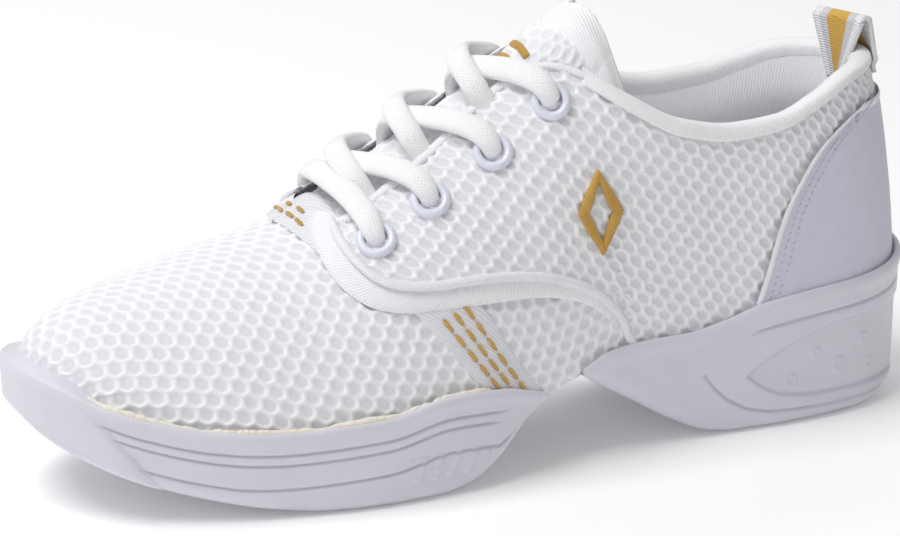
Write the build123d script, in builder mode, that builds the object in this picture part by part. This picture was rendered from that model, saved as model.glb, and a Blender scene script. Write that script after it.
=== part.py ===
"""Split-sole cheer and dance sneaker, left foot, laced and standing on a floor.

Frame: millimetres, +Z up, floor at z = 0. The toe points to -X, the heel to +X, the outer
(lateral) side of the foot faces -Y. Lengths along the shoe are counted from the toe tip and
called "along"; x = along - LENGTH / 2, so the origin is under the middle of the shoe.

The upper is described by one last: a closed plan outline, and for each place along it the
height of the feather line, the height of the ridge and how full the cross-section is. Every
cloth panel is a patch of that last, so the panels share their edges and lie in layers.
"""

import math
import os

from build123d import *

# ---------------------------------------------------------------- driving dimensions
LENGTH = 262.0  # overall, toe bumper to heel
HALF_WIDTH = 46.0  # across the ball of the foot
HINGE_ALONG, HINGE_HEIGHT = 142.0, 40.0  # the line about which the arch folds
SPLIT_GAP = 0.4  # half of the gap between forefoot and rearfoot panels above that line
SOLE_LIP = 2.6  # the sole stands this far proud of the upper
CLOTH = 1.5  # one layer of spacer mesh
BAND = 4.0  # height of the cap that finishes the topline
LINING = 1.2
BOARD = 2.0  # insole board
LINER = 3.0  # foam sockliner
UNDERLAY = 0.7  # strap and edge tape, which lie under the quarters
LACE_WIDTH, LACE_THICK = 5.6, 2.8  # as squeezed through the eyelets
EYELET_OUTER, EYELET_HOLE, EYELET_THICK = 5.3, 2.9, 1.4
EYELETS = [94.6, 110.4, 129.2, 146.3]  # along, one row on each side
EYELET_RISE = 0.615
TONGUE_DEPTH = 4.2  # how far the tongue lies under the last surface
TAB_WIDTH, TAB_THICK, TAB_HEIGHT = 18.0, 1.6, 9.5
TAB_TURN = 20.0  # the loop is sewn on slightly towards the lateral side

# Plan outline of the sole, (along, y): lateral side from toe to heel, then medial side back.
OUTLINE = [
    (0, 3), (5, -13), (19, -28), (40, -37.5), (62, -43), (88, -HALF_WIDTH), (112, -44),
    (135, -39.5), (165, -34.5), (190, -33), (216, -33), (240, -28.5), (255, -17.5), (LENGTH, 0),
    (255, 17.5), (240, 28.5), (216, 31), (180, 28), (150, 28.5), (125, 34), (102, 42),
    (78, HALF_WIDTH), (55, 44.5), (33, 38), (15, 28), (4, 17),
]
# Heights along the shoe, (along, z).
FEATHER = [(0, 24), (20, 17.5), (45, 14), (75, 13), (105, 14), (125, 18), (141, 23), (160, 27),
           (200, 27), (262, 26)]
RIDGE = [(0, 25), (4, 37), (10, 45.5), (20, 51), (35, 55), (50, 58.5), (70, 63.5), (90, 73),
         (110, 86), (130, 99), (150, 115.5), (165, 134), (185, 156), (262, 160)]
RIDGE_OFFSET = [(0, 3), (30, 5), (60, 6), (100, 3), (150, 0), (262, 0)]
FULLNESS = [(0, 2.3), (50, 2.2), (90, 1.8), (130, 1.6), (155, 1.7), (185, 2.0), (262, 2.0)]
TOPLINE_LATERAL = [(141, 109), (152, 106), (165, 98), (180, 90), (196, 87), (212, 88),
                   (228, 92), (245, 96.5), (262, 98)]
TOPLINE_MEDIAL = [(141, 109), (152, 106), (165, 99), (180, 92.5), (196, 90), (212, 90.5),
                  (228, 93), (245, 96.5), (262, 98)]
# The back of the heel leans: how far it moves along the shoe at each height.
BACK_CURVE = [(0, -1), (26, -0.5), (48, -1.5), (70, -4), (85, -6.5), (98, -10), (112, -12)]
# Sole units: lowest and highest point of the side wall, and the floor of the foot bed.
FOREFOOT_BOTTOM = [(0, 24), (4, 20), (12, 15.5), (26, 10), (42, 5.4), (58, 2), (74, 0.2), (84, 0),
                   (104, 0), (113, 1.6), (121, 6), (129, 14), (136, 21.5)]
FOREFOOT_TOP = [(0, 42), (7, 39), (16, 33), (26, 29), (42, 25.5), (62, 24), (88, 25),
                (106, 28), (122, 27), (136, 23)]
HEEL_BOTTOM = [(148, 25), (154, 21), (166, 13.5), (178, 6), (188, 1.4), (196, 0), (240, 0),
               (250, 2.2), (257, 6), (262, 12)]
HEEL_TOP = [(148, 27), (156, 30.5), (168, 31.5), (180, 31.5), (192, 33.5), (204, 37), (216, 38.5),
            (235, 39.5), (250, 40.5), (262, 42)]


# ---------------------------------------------------------------- the last
def along_curve(stations, at):
    """Smooth value at a place along the shoe, through the stations, without overshoot."""
    places = [s[0] for s in stations]
    values = [s[1] for s in stations]
    if at <= places[0]:
        return values[0]
    if at >= places[-1]:
        return values[-1]
    i = max(k for k in range(len(places) - 1) if places[k] <= at)
    steps = [
        (values[k + 1] - values[k]) / (places[k + 1] - places[k]) for k in range(len(places) - 1)
    ]

    def slope(k):
        if k == 0:
            return steps[0]
        if k == len(places) - 1:
            return steps[-1]
        if steps[k - 1] * steps[k] <= 0:
            return 0.0
        return 2 * steps[k - 1] * steps[k] / (steps[k - 1] + steps[k])

    run = places[i + 1] - places[i]
    u = (at - places[i]) / run
    return (
        values[i] * (1 + 2 * u) * (1 - u) ** 2
        + values[i + 1] * u * u * (3 - 2 * u)
        + run * slope(i) * u * (1 - u) ** 2
        + run * slope(i + 1) * u * u * (u - 1)
    )


def outline_point(tau, inset=0.0):
    """(along, y) on the closed plan outline. tau runs from 0 at the toe by the lateral side to
    0.5 at the heel and on to 1."""
    count = len(OUTLINE)
    place = (tau % 1.0) * count
    i = int(place) % count
    u = place - int(place)
    p = [OUTLINE[(i + k - 1) % count] for k in range(4)]

    def blend(axis):
        a, b, c, d = (q[axis] for q in p)
        return 0.5 * (
            2 * b + (c - a) * u + (2 * a - 5 * b + 4 * c - d) * u * u
            + (3 * b - a - 3 * c + d) * u ** 3
        )

    def rate(axis):
        a, b, c, d = (q[axis] for q in p)
        return 0.5 * (c - a + 2 * (2 * a - 5 * b + 4 * c - d) * u
                      + 3 * (3 * b - a - 3 * c + d) * u * u)

    along, y, run_along, run_y = blend(0), blend(1), rate(0), rate(1)
    size = math.hypot(run_along, run_y)
    return along - inset * run_y / size, y + inset * run_along / size


def tau_at(along, lateral=True):
    """Where on the outline a place along the shoe lies."""
    low, high = (0.0, 0.5) if lateral else (0.5, 1.0)
    for _ in range(40):
        middle = (low + high) / 2
        if (outline_point(middle)[0] < along) == lateral:
            low = middle
        else:
            high = middle
    return (low + high) / 2


def last_point(tau, rise, offset=0.0, roundness=None):
    """A point of the last. rise is 0 at the feather line and 1 on the ridge; offset moves it
    straight out of the surface; roundness takes the place of the usual fullness."""

    def bare(t, r):
        along, y = outline_point(t, SOLE_LIP)
        full = roundness or along_curve(FULLNESS, along)
        angle = max(0.0, min(1.0, r)) * math.pi / 2
        out, up = max(0.0, math.cos(angle)) ** (2 / full), math.sin(angle)
        low, high = along_curve(FEATHER, along), along_curve(RIDGE, along)
        middle = along_curve(RIDGE_OFFSET, along)
        z = low + (high - low) * up
        back = max(0.0, min(1.0, (along - 190) / 60))
        lean = along_curve(BACK_CURVE, z) * back * back * (3 - 2 * back)
        return Vector(along + lean - LENGTH / 2, middle + (y - middle) * out, z)

    here = bare(tau, rise)
    if not offset:
        return here
    small = 2e-3
    r0, r1 = max(0.0, rise - small), min(0.999, rise + small)
    across = bare(tau + small, rise) - bare(tau - small, rise)
    upward = bare(tau, r1) - bare(tau, r0)
    return here + across.cross(upward).normalized() * offset


def rise_at(tau, height):
    """The rise at which the last reaches a height."""
    low, high = 0.0, 1.0
    for _ in range(30):
        middle = (low + high) / 2
        if last_point(tau, middle).Z < height:
            low = middle
        else:
            high = middle
    return (low + high) / 2


def spread(start, end, count):
    return [start + (end - start) * i / (count - 1) for i in range(count)]


def ease(value):
    value = max(0.0, min(1.0, value))
    return value * value * (3 - 2 * value)


def quarter_offset(along):
    """The quarters lie over the vamp in front and come down to it in the arch."""
    return UNDERLAY + CLOTH - 2.0 * ease((along - 135) / 30)


def arch_sheet(start, end, outer, inner, sides=(-1, 1), count=18, roundness=None):
    """A sheet over the foot from one feather line to the other, between two offsets from the
    last. outer is a number or a rule of the place along the shoe; inner is how far below it
    the underside lies. sides runs from -1, the lateral feather line, over 0, the ridge, to 1."""

    def face(down):
        rows = []
        for along in spread(start, end, count):
            out = (outer(along) if callable(outer) else outer) - down
            rows.append([
                last_point(tau_at(along, s <= 0), 1 - abs(s), out, roundness)
                for s in spread(*sides, 21)
            ])
        return Face.make_surface_from_array_of_points(rows, tol=0.04)

    return between(face(0), face(inner))


def wrap_sheet(taus, low, drop, outer, inner, end_drop=None, count=31):
    """A sheet around the heel between two outline values, from low above the feather line, or
    end_drop below the topline, up to drop below the topline. outer is a rule of the height."""

    def face(down):
        rows = []
        for tau in spread(*taus, count):
            along = outline_point(tau, SOLE_LIP)[0]
            line = TOPLINE_LATERAL if tau < 0.5 else TOPLINE_MEDIAL
            first = along_curve(FEATHER, along) + low
            top = along_curve(line, along) - drop
            if end_drop is not None:
                first = along_curve(line, along) - end_drop
            rows.append([
                last_point(tau, rise_at(tau, z), outer(z) - down)
                for z in spread(first, top, 9)
            ])
        return Face.make_surface_from_array_of_points(rows, tol=0.04)

    return between(face(0), face(inner))


def between(top, bottom):
    """The solid between two faces laid out alike, closed by straight walls round the edge."""
    walls = []
    for edge in top.edges():
        partner = min(bottom.edges(), key=lambda e: (e.center() - edge.center()).length)
        walls.append(Face.make_surface_from_curves(edge, partner))
    return Solid(Shell([top, bottom] + walls))


def side_zone(points, near=-90.0, far=90.0):
    """Everything inside a side-view outline (along, z) between two y values."""
    with BuildPart() as zone:
        with BuildSketch(Plane.XZ.offset(-far)):
            with BuildLine():
                Polyline([(a - LENGTH / 2, z) for a, z in points], close=True)
            make_face()
        extrude(amount=far - near)
    return zone.part


def plan_zone(points, low=-5.0, high=150.0):
    """Everything above and below a closed smooth plan outline (along, y)."""
    with BuildPart() as zone:
        with BuildSketch(Plane.XY.offset(low)):
            with BuildLine():
                Spline([(a - LENGTH / 2, y) for a, y in points], periodic=True)
            make_face()
        extrude(amount=high - low)
    return zone.part


def kept(sheet, *zones, without=()):
    """A sheet of cloth cut to the zones."""
    with BuildPart() as piece:
        add(sheet)
        for zone in zones:
            add(zone, mode=Mode.INTERSECT)
        for zone in without:
            add(zone, mode=Mode.SUBTRACT)
    return piece.part


def curve_points(stations, start, end, lift=0.0):
    """Points of a height curve, at the same places whatever the ends, so layers match."""
    places = [start] + [a for a in range(0, int(LENGTH), 4) if start < a < end] + [end]
    return [(a, along_curve(stations, a) + lift) for a in places]


# ---------------------------------------------------------------- front and rear of the fold
# Every forefoot piece stays on the toe side of a line through the fold line, every rearfoot
# piece on the heel side. Below the fold line both lines run apart, so that the arch can close
# there; above it they lean back behind the top eyelet and only open.
LEAN = 12.0 / 62.0
CLEAR = 0.30


def fold_line(side):
    """Boundary points from the floor to above the shoe: side -1 for the forefoot, 1 rear."""
    near = HINGE_ALONG + side * SPLIT_GAP
    bottom = (near + side * CLEAR * HINGE_HEIGHT, 0)
    top = (near + LEAN * (160 - HINGE_HEIGHT), 160)
    return [bottom, (near, HINGE_HEIGHT), top]


def front_zone():
    line = fold_line(-1)
    return side_zone([(-20, -20), (line[0][0], -20)] + line + [(-20, 160)])


def rear_zone():
    line = fold_line(1)
    return side_zone([(300, -20), (line[0][0], -20)] + line + [(300, 160)])


# Lower edge of the quarters: from the base of the throat down, along the side, to the arch.
QUARTER_EDGE = [(86.8, 68.5), (86.6, 64), (88, 60), (91, 57), (96, 55), (106, 54.5), (118, 55),
                (130, 54.5), (142, 52), (150, 48.5), (156, 44), (160.5, 38.5), (164, 31)]
TAPE_EDGE = [(83.5, 68.5), (80.6, 64.5), (80.2, 60), (82, 55.5), (86, 51.5), (91, 49.3), (99, 48.7),
             (109, 48.7), (120, 48.8), (131, 48.5), (141, 47), (149.5, 44), (156, 38.5), (160, 32)]
COUNTER_EDGE = [(246, 86), (231.5, 81), (224, 76.5), (217, 69.5), (211, 61.5), (207.5, 53.5),
                (204.8, 45.5), (201, 35), (197, 20)]
# Throat opening between the eyelet rows, (along, y) from the lateral corner around the front.
THROAT = [(160, -24), (150, -13), (140, -9.6), (128, -9.6), (112, -11.5), (98, -13),
          (90, -14), (84.5, -11), (82, -1), (83.5, 13), (90, 19.5), (100, 19), (114, 16),
          (128, 13), (140, 11), (150, 13.5), (160, 24), (175, 30), (175, -30)]
TONGUE_SIDE = 0.38  # how far down each side the tongue's mesh reaches

front = front_zone()
rear = rear_zone()
throat = plan_zone(THROAT)
above_quarter_edge = side_zone(QUARTER_EDGE + [(190, 31), (190, 150), (86.8, 150)])
above_tape_edge = side_zone(TAPE_EDGE + [(190, 32), (190, 150), (83.5, 150)])
above_quarter_edge_rear = side_zone(QUARTER_EDGE[8:] + [(164, 0), (300, 0), (300, 150),
                                                       (142, 150)])
lateral_half = side_zone([(0, 0), (262, 0), (262, 150), (0, 150)], near=-90, far=1.5)
medial_half = side_zone([(0, 0), (262, 0), (262, 150), (0, 150)], near=1.5, far=90)

# ---------------------------------------------------------------- sole units
bed_plan = [outline_point(k / len(OUTLINE), SOLE_LIP - 0.4) for k in range(len(OUTLINE))]
board_plan = [outline_point(k / len(OUTLINE), SOLE_LIP + 4.2) for k in range(len(OUTLINE))]
bed_well = plan_zone(bed_plan)
board_well = plan_zone(board_plan)
liner_well = plan_zone([outline_point(k / len(OUTLINE), SOLE_LIP + 5.4) for k in range(len(OUTLINE))])
FRONT_LIMIT, REAR_LIMIT = 136.0, 148.0


def sole_side(bottom, top, start, end):
    return side_zone(
        curve_points(bottom, start, end) + curve_points(top, start, end)[::-1]
    )


def bed_layer(start, end, low, high):
    """A layer that follows the foot bed: heights counted from the feather line."""
    return side_zone(
        curve_points(FEATHER, start, end, low) + curve_points(FEATHER, start, end, high)[::-1]
    )


with BuildPart() as forefoot_outsole:
    add(plan_zone(OUTLINE))
    add(sole_side(FOREFOOT_BOTTOM, FOREFOOT_TOP, -1, FRONT_LIMIT), mode=Mode.INTERSECT)
    add(bed_well & bed_layer(-2, 150, -BOARD, 60), mode=Mode.SUBTRACT)

with BuildPart() as heel_outsole:
    add(plan_zone(OUTLINE))
    add(sole_side(HEEL_BOTTOM, HEEL_TOP, REAR_LIMIT, 263), mode=Mode.INTERSECT)
    add(bed_well & bed_layer(140, 264, -BOARD, 60), mode=Mode.SUBTRACT)

with BuildPart() as forefoot_insole_board:
    add(board_well)
    add(bed_layer(8, 134, -BOARD, 0), mode=Mode.INTERSECT)

with BuildPart() as heel_insole_board:
    add(board_well)
    add(bed_layer(150, 259, -BOARD, 0), mode=Mode.INTERSECT)

with BuildPart() as forefoot_sockliner:
    add(liner_well)
    add(bed_layer(9, 136, 0, LINER), mode=Mode.INTERSECT)

with BuildPart() as heel_sockliner:
    add(liner_well)
    add(bed_layer(147.5, 258, 0, LINER), mode=Mode.INTERSECT)


# ---------------------------------------------------------------- vamp and its layers
over_foot = arch_sheet(3.5, 142, 0, CLOTH)
vamp_opening = side_zone([(84.5, 69.5), (83, 62), (85, 56.5), (91, 53.5), (120, 53), (135, 51),
                          (147, 45.5), (156, 36), (160, 30), (190, 30), (190, 150), (84.5, 150)])
with BuildPart() as vamp:
    add(kept(over_foot, front))
    add(vamp_opening, mode=Mode.SUBTRACT)

with BuildPart() as vamp_wings:
    add(arch_sheet(138, 163, 0, 1.1, (-1, -0.7), 8))
    add(arch_sheet(138, 163, 0, 1.1, (0.7, 1), 8))
    add(rear, mode=Mode.INTERSECT)
    add(vamp_opening, mode=Mode.SUBTRACT)

with BuildPart() as vamp_lining:
    add(kept(arch_sheet(6, 142, -CLOTH - 1.4, LINING), front))
    add(side_zone([(79, 150), (79, 47), (100, 42), (190, 42), (190, 150)]), mode=Mode.SUBTRACT)

with BuildPart() as toe_puff:
    add(arch_sheet(8, 34, -CLOTH - 0.4, 0.5, count=9))

STRAP = [(101, 52), (99.7, 48.5), (104.7, 42.4), (110.7, 34.8), (115, 29), (127.5, 29),
         (125.6, 31.6), (121.6, 39.7), (116.5, 49), (112, 54)]
STRAP_TOP = [(75.5, 80), (75, 66), (77, 63), (84, 56), (101, 44), (101, 52), (96, 61), (88, 67.5),
             (85.5, 80)]
with BuildPart() as instep_strap:
    add(arch_sheet(70, 136, UNDERLAY - 0.1, UNDERLAY - 0.2, count=14))
    add(side_zone(STRAP) + side_zone(STRAP_TOP), mode=Mode.INTERSECT)

# ---------------------------------------------------------------- quarters
SIDES = {"lateral": (-1, -0.1), "medial": (0.1, 1)}


def quarter_front(side):
    sheet = arch_sheet(76, 168, quarter_offset, CLOTH, SIDES[side])
    return kept(sheet, front, above_quarter_edge, without=[throat])


def edge_tape(side):
    sheet = arch_sheet(76, 168, lambda a: quarter_offset(a) - 0.1, 1.0, SIDES[side])
    return kept(sheet, front, above_tape_edge, without=[above_quarter_edge, throat])


def eyelet_planes(lateral):
    """Where the eyelets sit: on the quarter, square to it."""
    planes = []
    for along in EYELETS:
        tau = tau_at(along, lateral)
        centre = last_point(tau, EYELET_RISE, quarter_offset(along))
        planes.append(Plane(origin=centre, z_dir=last_point(
            tau, EYELET_RISE, quarter_offset(along) + 1) - centre))
    return planes


def eyelet_bores(lateral):
    with BuildPart() as holes:
        with Locations(*eyelet_planes(lateral)):
            Cylinder(EYELET_HOLE + 0.6, 12)
    return holes.part


def eyelets(lateral):
    planes = eyelet_planes(lateral)
    with BuildPart() as rings:
        with Locations(*[plane.offset(EYELET_THICK / 2) for plane in planes]):
            Cylinder(EYELET_OUTER, EYELET_THICK)
        with Locations(*[plane.offset(-0.5) for plane in planes]):
            Cylinder(EYELET_HOLE + 0.6, 1.6)
        with Locations(*planes):
            Cylinder(EYELET_HOLE, 12, mode=Mode.SUBTRACT)
    return rings.part


with BuildPart() as quarter_lateral_front:
    add(quarter_front("lateral"))
    add(eyelet_bores(True), mode=Mode.SUBTRACT)

with BuildPart() as quarter_medial_front:
    add(quarter_front("medial"))
    add(eyelet_bores(False), mode=Mode.SUBTRACT)

with BuildPart() as edge_tape_lateral:
    add(edge_tape("lateral"))

with BuildPart() as edge_tape_medial:
    add(edge_tape("medial"))

with BuildPart() as eyelets_lateral:
    add(eyelets(True))

with BuildPart() as eyelets_medial:
    add(eyelets(False))

# ---------------------------------------------------------------- rear of the upper
AROUND = (tau_at(138, True), tau_at(138, False))  # the whole rear, from the arch round the heel
COLLAR = (tau_at(151, True), tau_at(151, False))
behind_counter_edge = side_zone([(300, 86)] + COUNTER_EDGE + [(300, 20)])
outer_sheet = wrap_sheet(AROUND, -1.5, BAND + 1.9, lambda z: 0.2, CLOTH)
outer_layer = kept(outer_sheet, rear)

with BuildPart() as quarter_lateral_rear:
    add(outer_layer & lateral_half & above_quarter_edge_rear)
    add(behind_counter_edge, mode=Mode.SUBTRACT)

with BuildPart() as quarter_medial_rear:
    add(outer_layer & medial_half & above_quarter_edge_rear)
    add(behind_counter_edge, mode=Mode.SUBTRACT)

with BuildPart() as heel_counter_panel:
    add(outer_layer & behind_counter_edge)

with BuildPart() as heel_counter_stiffener:
    add(wrap_sheet(AROUND, 0.5, 20, lambda z: -CLOTH - 0.2, 0.5))
    add(side_zone([(196, 20), (204, 52), (226, 70), (300, 70), (300, 20)]), mode=Mode.INTERSECT)


def lining_offset(z):
    """The lining lies against the outside low down and against the padding near the top."""
    return -2.9 - 5.1 * ease((z - 44) / 14)


with BuildPart() as rear_lining:
    add(wrap_sheet(AROUND, 0, BAND + 1.6, lining_offset, LINING))
    add(rear, mode=Mode.INTERSECT)

with BuildPart() as collar_foam:
    add(wrap_sheet(COLLAR, 0, BAND + 0.9, lambda z: -CLOTH - 0.5, 5.0, end_drop=BAND + 17))
    add(rear, mode=Mode.INTERSECT)

with BuildPart() as collar_binding:
    add(wrap_sheet(COLLAR, 0, 0, lambda z: 1.0, 9.8, end_drop=BAND))
    add(rear, mode=Mode.INTERSECT)

EMBLEM = [(155, 56.5), (161.6, 68), (155.4, 79.5), (149, 68)]
EMBLEM_HOLE = [(155, 61), (159.2, 68), (155.3, 75), (151.4, 68)]
with BuildPart() as side_emblem:
    add(arch_sheet(146, 165, 1.1, 0.75, (-0.9, -0.5), 8))
    add(side_zone(EMBLEM), mode=Mode.INTERSECT)
    add(side_zone(EMBLEM_HOLE), mode=Mode.SUBTRACT)

# ---------------------------------------------------------------- tongue
def tongue_sheet(depth, thickness, sides, start=84.0, end=151.0):
    """Part of the tongue, counted in depth below its outer face; it is rounder than the last."""
    return arch_sheet(start, end, -TONGUE_DEPTH - depth, thickness, sides, 16, 2.05)


with BuildPart() as tongue:
    add(tongue_sheet(0, 1.2, (-TONGUE_SIDE, TONGUE_SIDE)))

with BuildPart() as tongue_foam:
    add(tongue_sheet(1.3, 2.1, (-TONGUE_SIDE, TONGUE_SIDE)))

with BuildPart() as tongue_lining:
    add(tongue_sheet(3.5, 1.0, (-TONGUE_SIDE, TONGUE_SIDE), end=149.0))

with BuildPart() as tongue_binding:
    add(tongue_sheet(-0.3, 5.0, (-TONGUE_SIDE - 0.12, -TONGUE_SIDE - 0.004)))
    add(tongue_sheet(-0.3, 5.0, (TONGUE_SIDE + 0.004, TONGUE_SIDE + 0.12)))
    add(tongue_sheet(-0.3, 5.0, (-TONGUE_SIDE, TONGUE_SIDE), 151.2, 157.0))
    add(front, mode=Mode.INTERSECT)

with BuildPart() as tongue_emblem:
    for place in (139.5, 143.5, 147.5):
        seat = last_point(tau_at(place), 0.985, 0.85 - TONGUE_DEPTH, 2.05)
        fore = last_point(tau_at(place - 2), 0.985, 0.85 - TONGUE_DEPTH, 2.05)
        square = (fore - seat).cross(Vector(0, 1, 0))
        with BuildSketch(Plane(origin=seat, x_dir=(0, 1, 0), z_dir=square)):
            SlotOverall(8, 2.2)
        extrude(amount=0.7)


# ---------------------------------------------------------------- lace
def on_upper(along, side, rise, offset):
    """A point over the upper; side is -1 lateral, 1 medial."""
    return last_point(tau_at(along, side < 0), rise, offset)


def lace_span(points):
    """A length of flat oval lace laid through points."""
    with BuildPart() as span:
        with BuildLine() as way:
            Spline(points)
        way_start = way.line @ 0
        run = way.line % 0
        flat = run.cross(Vector(0.35, 0, -1)).normalized()
        with BuildSketch(Plane(origin=way_start, x_dir=flat, z_dir=run)):
            Ellipse(LACE_WIDTH / 2, LACE_THICK / 2)
        sweep()
    return span.part


def crossing(row, side, lift):
    """From under one eyelet, out over the edge of the throat and across to the next eyelet
    on the other side, where it dips into the ring."""
    start, end = EYELETS[row], EYELETS[row + 1]
    middle = (start + end) / 2
    over = quarter_offset(end) + 1.6
    return lace_span([
        on_upper(start + 2, side, 0.65, -1.6),
        on_upper(middle, side, 0.73, -1.0),
        on_upper(middle + 1, side, 0.82, 0.6 + lift),
        on_upper(middle + 3, side, 0.985, 2.2 + lift),
        on_upper(end - 2, -side, 0.84, over + 0.8),
        on_upper(end - 0.5, -side, 0.69, over + 0.7),
        on_upper(end, -side, EYELET_RISE + 0.01, over - 0.6),
    ])


def front_bar():
    """The straight length across the two front eyelets."""
    place = EYELETS[0]
    over = quarter_offset(place) + 1.6
    points = []
    for side, steps in ((-1, (0, 1, 2)), (1, (2, 1, 0))):
        stations = [(place, EYELET_RISE + 0.01, over - 0.6), (place - 0.5, 0.69, over + 0.7),
                    (place - 3, 0.86, over)]
        points += [on_upper(stations[k][0], side, stations[k][1], stations[k][2]) for k in steps]
    return lace_span(points)


with BuildPart() as shoelace:
    add(front_bar())
    for row in range(len(EYELETS) - 1):
        add(crossing(row, -1, 4.3))
        add(crossing(row, 1, 0))

with BuildPart() as aglets:
    for side in (-1, 1):
        tip = on_upper(126, side, 0.5, -2.3)
        root = on_upper(143, side, 0.5, -2.3)
        with Locations(Plane(origin=(tip + root) / 2, z_dir=root - tip)):
            Cylinder(1.3, (root - tip).length)

# ---------------------------------------------------------------- pull tab
TAB_ALONG, TAB_Y = 246.5, 1.5
TAB_FOOT = 98.7
across_tab = Vector(0, 1, 0).rotate(Axis.Z, TAB_TURN)
tab_plane = Plane(origin=(TAB_ALONG - LENGTH / 2, TAB_Y, TAB_FOOT), z_dir=across_tab,
                  x_dir=Vector(-1, 0, 0).rotate(Axis.Z, TAB_TURN))
with BuildPart() as pull_tab:
    with BuildSketch(tab_plane):
        with Locations((0, TAB_HEIGHT / 2)):
            RectangleRounded(5.4, TAB_HEIGHT, 2.6)
            RectangleRounded(5.4 - 2 * TAB_THICK, TAB_HEIGHT - 2 * TAB_THICK, 1.0,
                             mode=Mode.SUBTRACT)
    extrude(amount=TAB_WIDTH / 2, both=True)

TAB_SPAN = (0.482, 0.518)
with BuildPart() as pull_tab_ends:
    add(wrap_sheet(TAB_SPAN, 0, 0.3, lambda z: 2.4, 1.35, end_drop=15, count=7))
    add(wrap_sheet(TAB_SPAN, 0, 0.3, lambda z: -9.7, 1.3, end_drop=15, count=7))

# ---------------------------------------------------------------- hand over
os.makedirs("parts", exist_ok=True)
pieces = {
    "forefoot_outsole": forefoot_outsole,
    "heel_outsole": heel_outsole,
    "forefoot_insole_board": forefoot_insole_board,
    "heel_insole_board": heel_insole_board,
    "forefoot_sockliner": forefoot_sockliner,
    "heel_sockliner": heel_sockliner,
    "vamp": vamp,
    "vamp_wings": vamp_wings,
    "vamp_lining": vamp_lining,
    "toe_puff": toe_puff,
    "instep_strap": instep_strap,
    "quarter_lateral_front": quarter_lateral_front,
    "quarter_medial_front": quarter_medial_front,
    "edge_tape_lateral": edge_tape_lateral,
    "edge_tape_medial": edge_tape_medial,
    "eyelets_lateral": eyelets_lateral,
    "eyelets_medial": eyelets_medial,
    "quarter_lateral_rear": quarter_lateral_rear,
    "quarter_medial_rear": quarter_medial_rear,
    "heel_counter_panel": heel_counter_panel,
    "heel_counter_stiffener": heel_counter_stiffener,
    "rear_lining": rear_lining,
    "collar_foam": collar_foam,
    "collar_binding": collar_binding,
    "side_emblem": side_emblem,
    "tongue": tongue,
    "tongue_foam": tongue_foam,
    "tongue_lining": tongue_lining,
    "tongue_binding": tongue_binding,
    "tongue_emblem": tongue_emblem,
    "shoelace": shoelace,
    "aglets": aglets,
    "pull_tab": pull_tab,
    "pull_tab_ends": pull_tab_ends,
}
for name, piece in pieces.items():
    piece.part.label = name
    export_step(piece.part, f"parts/{name}.step")
    solids = piece.part.solids()
    box = piece.part.bounding_box()
    print(name, piece.part.is_valid, len(solids), [round(v) for v in (*box.min, *box.max)])
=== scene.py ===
"""Looks of the split-sole cheer shoe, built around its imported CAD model.

The upper is laid on the same last as the CAD model: a plan outline, and for each place along the
shoe a feather height, a ridge height and a fullness. Lengths in this script are millimetres until
a mesh is made. "along" is counted from the toe tip, x = along - LENGTH / 2.
"""

import math

import bmesh
import bpy
import numpy as np
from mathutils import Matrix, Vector


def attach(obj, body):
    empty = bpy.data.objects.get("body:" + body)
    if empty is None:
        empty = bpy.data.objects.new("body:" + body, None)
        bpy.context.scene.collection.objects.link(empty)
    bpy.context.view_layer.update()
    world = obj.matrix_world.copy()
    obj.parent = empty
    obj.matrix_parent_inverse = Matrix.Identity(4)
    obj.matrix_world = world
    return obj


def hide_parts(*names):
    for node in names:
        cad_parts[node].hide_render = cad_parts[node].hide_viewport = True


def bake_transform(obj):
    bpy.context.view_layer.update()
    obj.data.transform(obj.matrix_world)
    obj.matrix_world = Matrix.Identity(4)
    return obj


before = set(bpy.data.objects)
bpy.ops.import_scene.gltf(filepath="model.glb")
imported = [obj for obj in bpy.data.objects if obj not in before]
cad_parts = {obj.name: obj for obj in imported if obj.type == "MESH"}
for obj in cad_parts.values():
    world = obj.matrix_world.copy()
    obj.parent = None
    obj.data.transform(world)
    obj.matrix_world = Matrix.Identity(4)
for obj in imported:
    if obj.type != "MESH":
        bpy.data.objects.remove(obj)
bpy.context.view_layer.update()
MM = 0.001
LENGTH = 262.0
SOLE_LIP = 2.6

# ---------------------------------------------------------------- the last
OUTLINE = np.array([
    (0, 3), (5, -13), (19, -28), (40, -37.5), (62, -43), (88, -46), (112, -44),
    (135, -39.5), (165, -34.5), (190, -33), (216, -33), (240, -28.5), (255, -17.5), (262, 0),
    (255, 17.5), (240, 28.5), (216, 31), (180, 28), (150, 28.5), (125, 34), (102, 42),
    (78, 46), (55, 44.5), (33, 38), (15, 28), (4, 17),
], float)


def curve(*stations):
    """A smooth rule through (place, value) stations, without overshoot."""
    xs, ys = np.array(stations, float).T
    step = np.diff(ys) / np.diff(xs)
    slope = np.zeros(len(xs))
    slope[0], slope[-1] = step[0], step[-1]
    for k in range(1, len(xs) - 1):
        if step[k - 1] * step[k] > 0:
            slope[k] = 2 * step[k - 1] * step[k] / (step[k - 1] + step[k])

    def value(x):
        x = np.clip(x, xs[0], xs[-1])
        i = np.clip(np.searchsorted(xs, x, side="right") - 1, 0, len(xs) - 2)
        run = xs[i + 1] - xs[i]
        u = (x - xs[i]) / run
        return (ys[i] * (1 + 2 * u) * (1 - u) ** 2 + ys[i + 1] * u * u * (3 - 2 * u)
                + run * slope[i] * u * (1 - u) ** 2 + run * slope[i + 1] * u * u * (u - 1))

    return value


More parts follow.
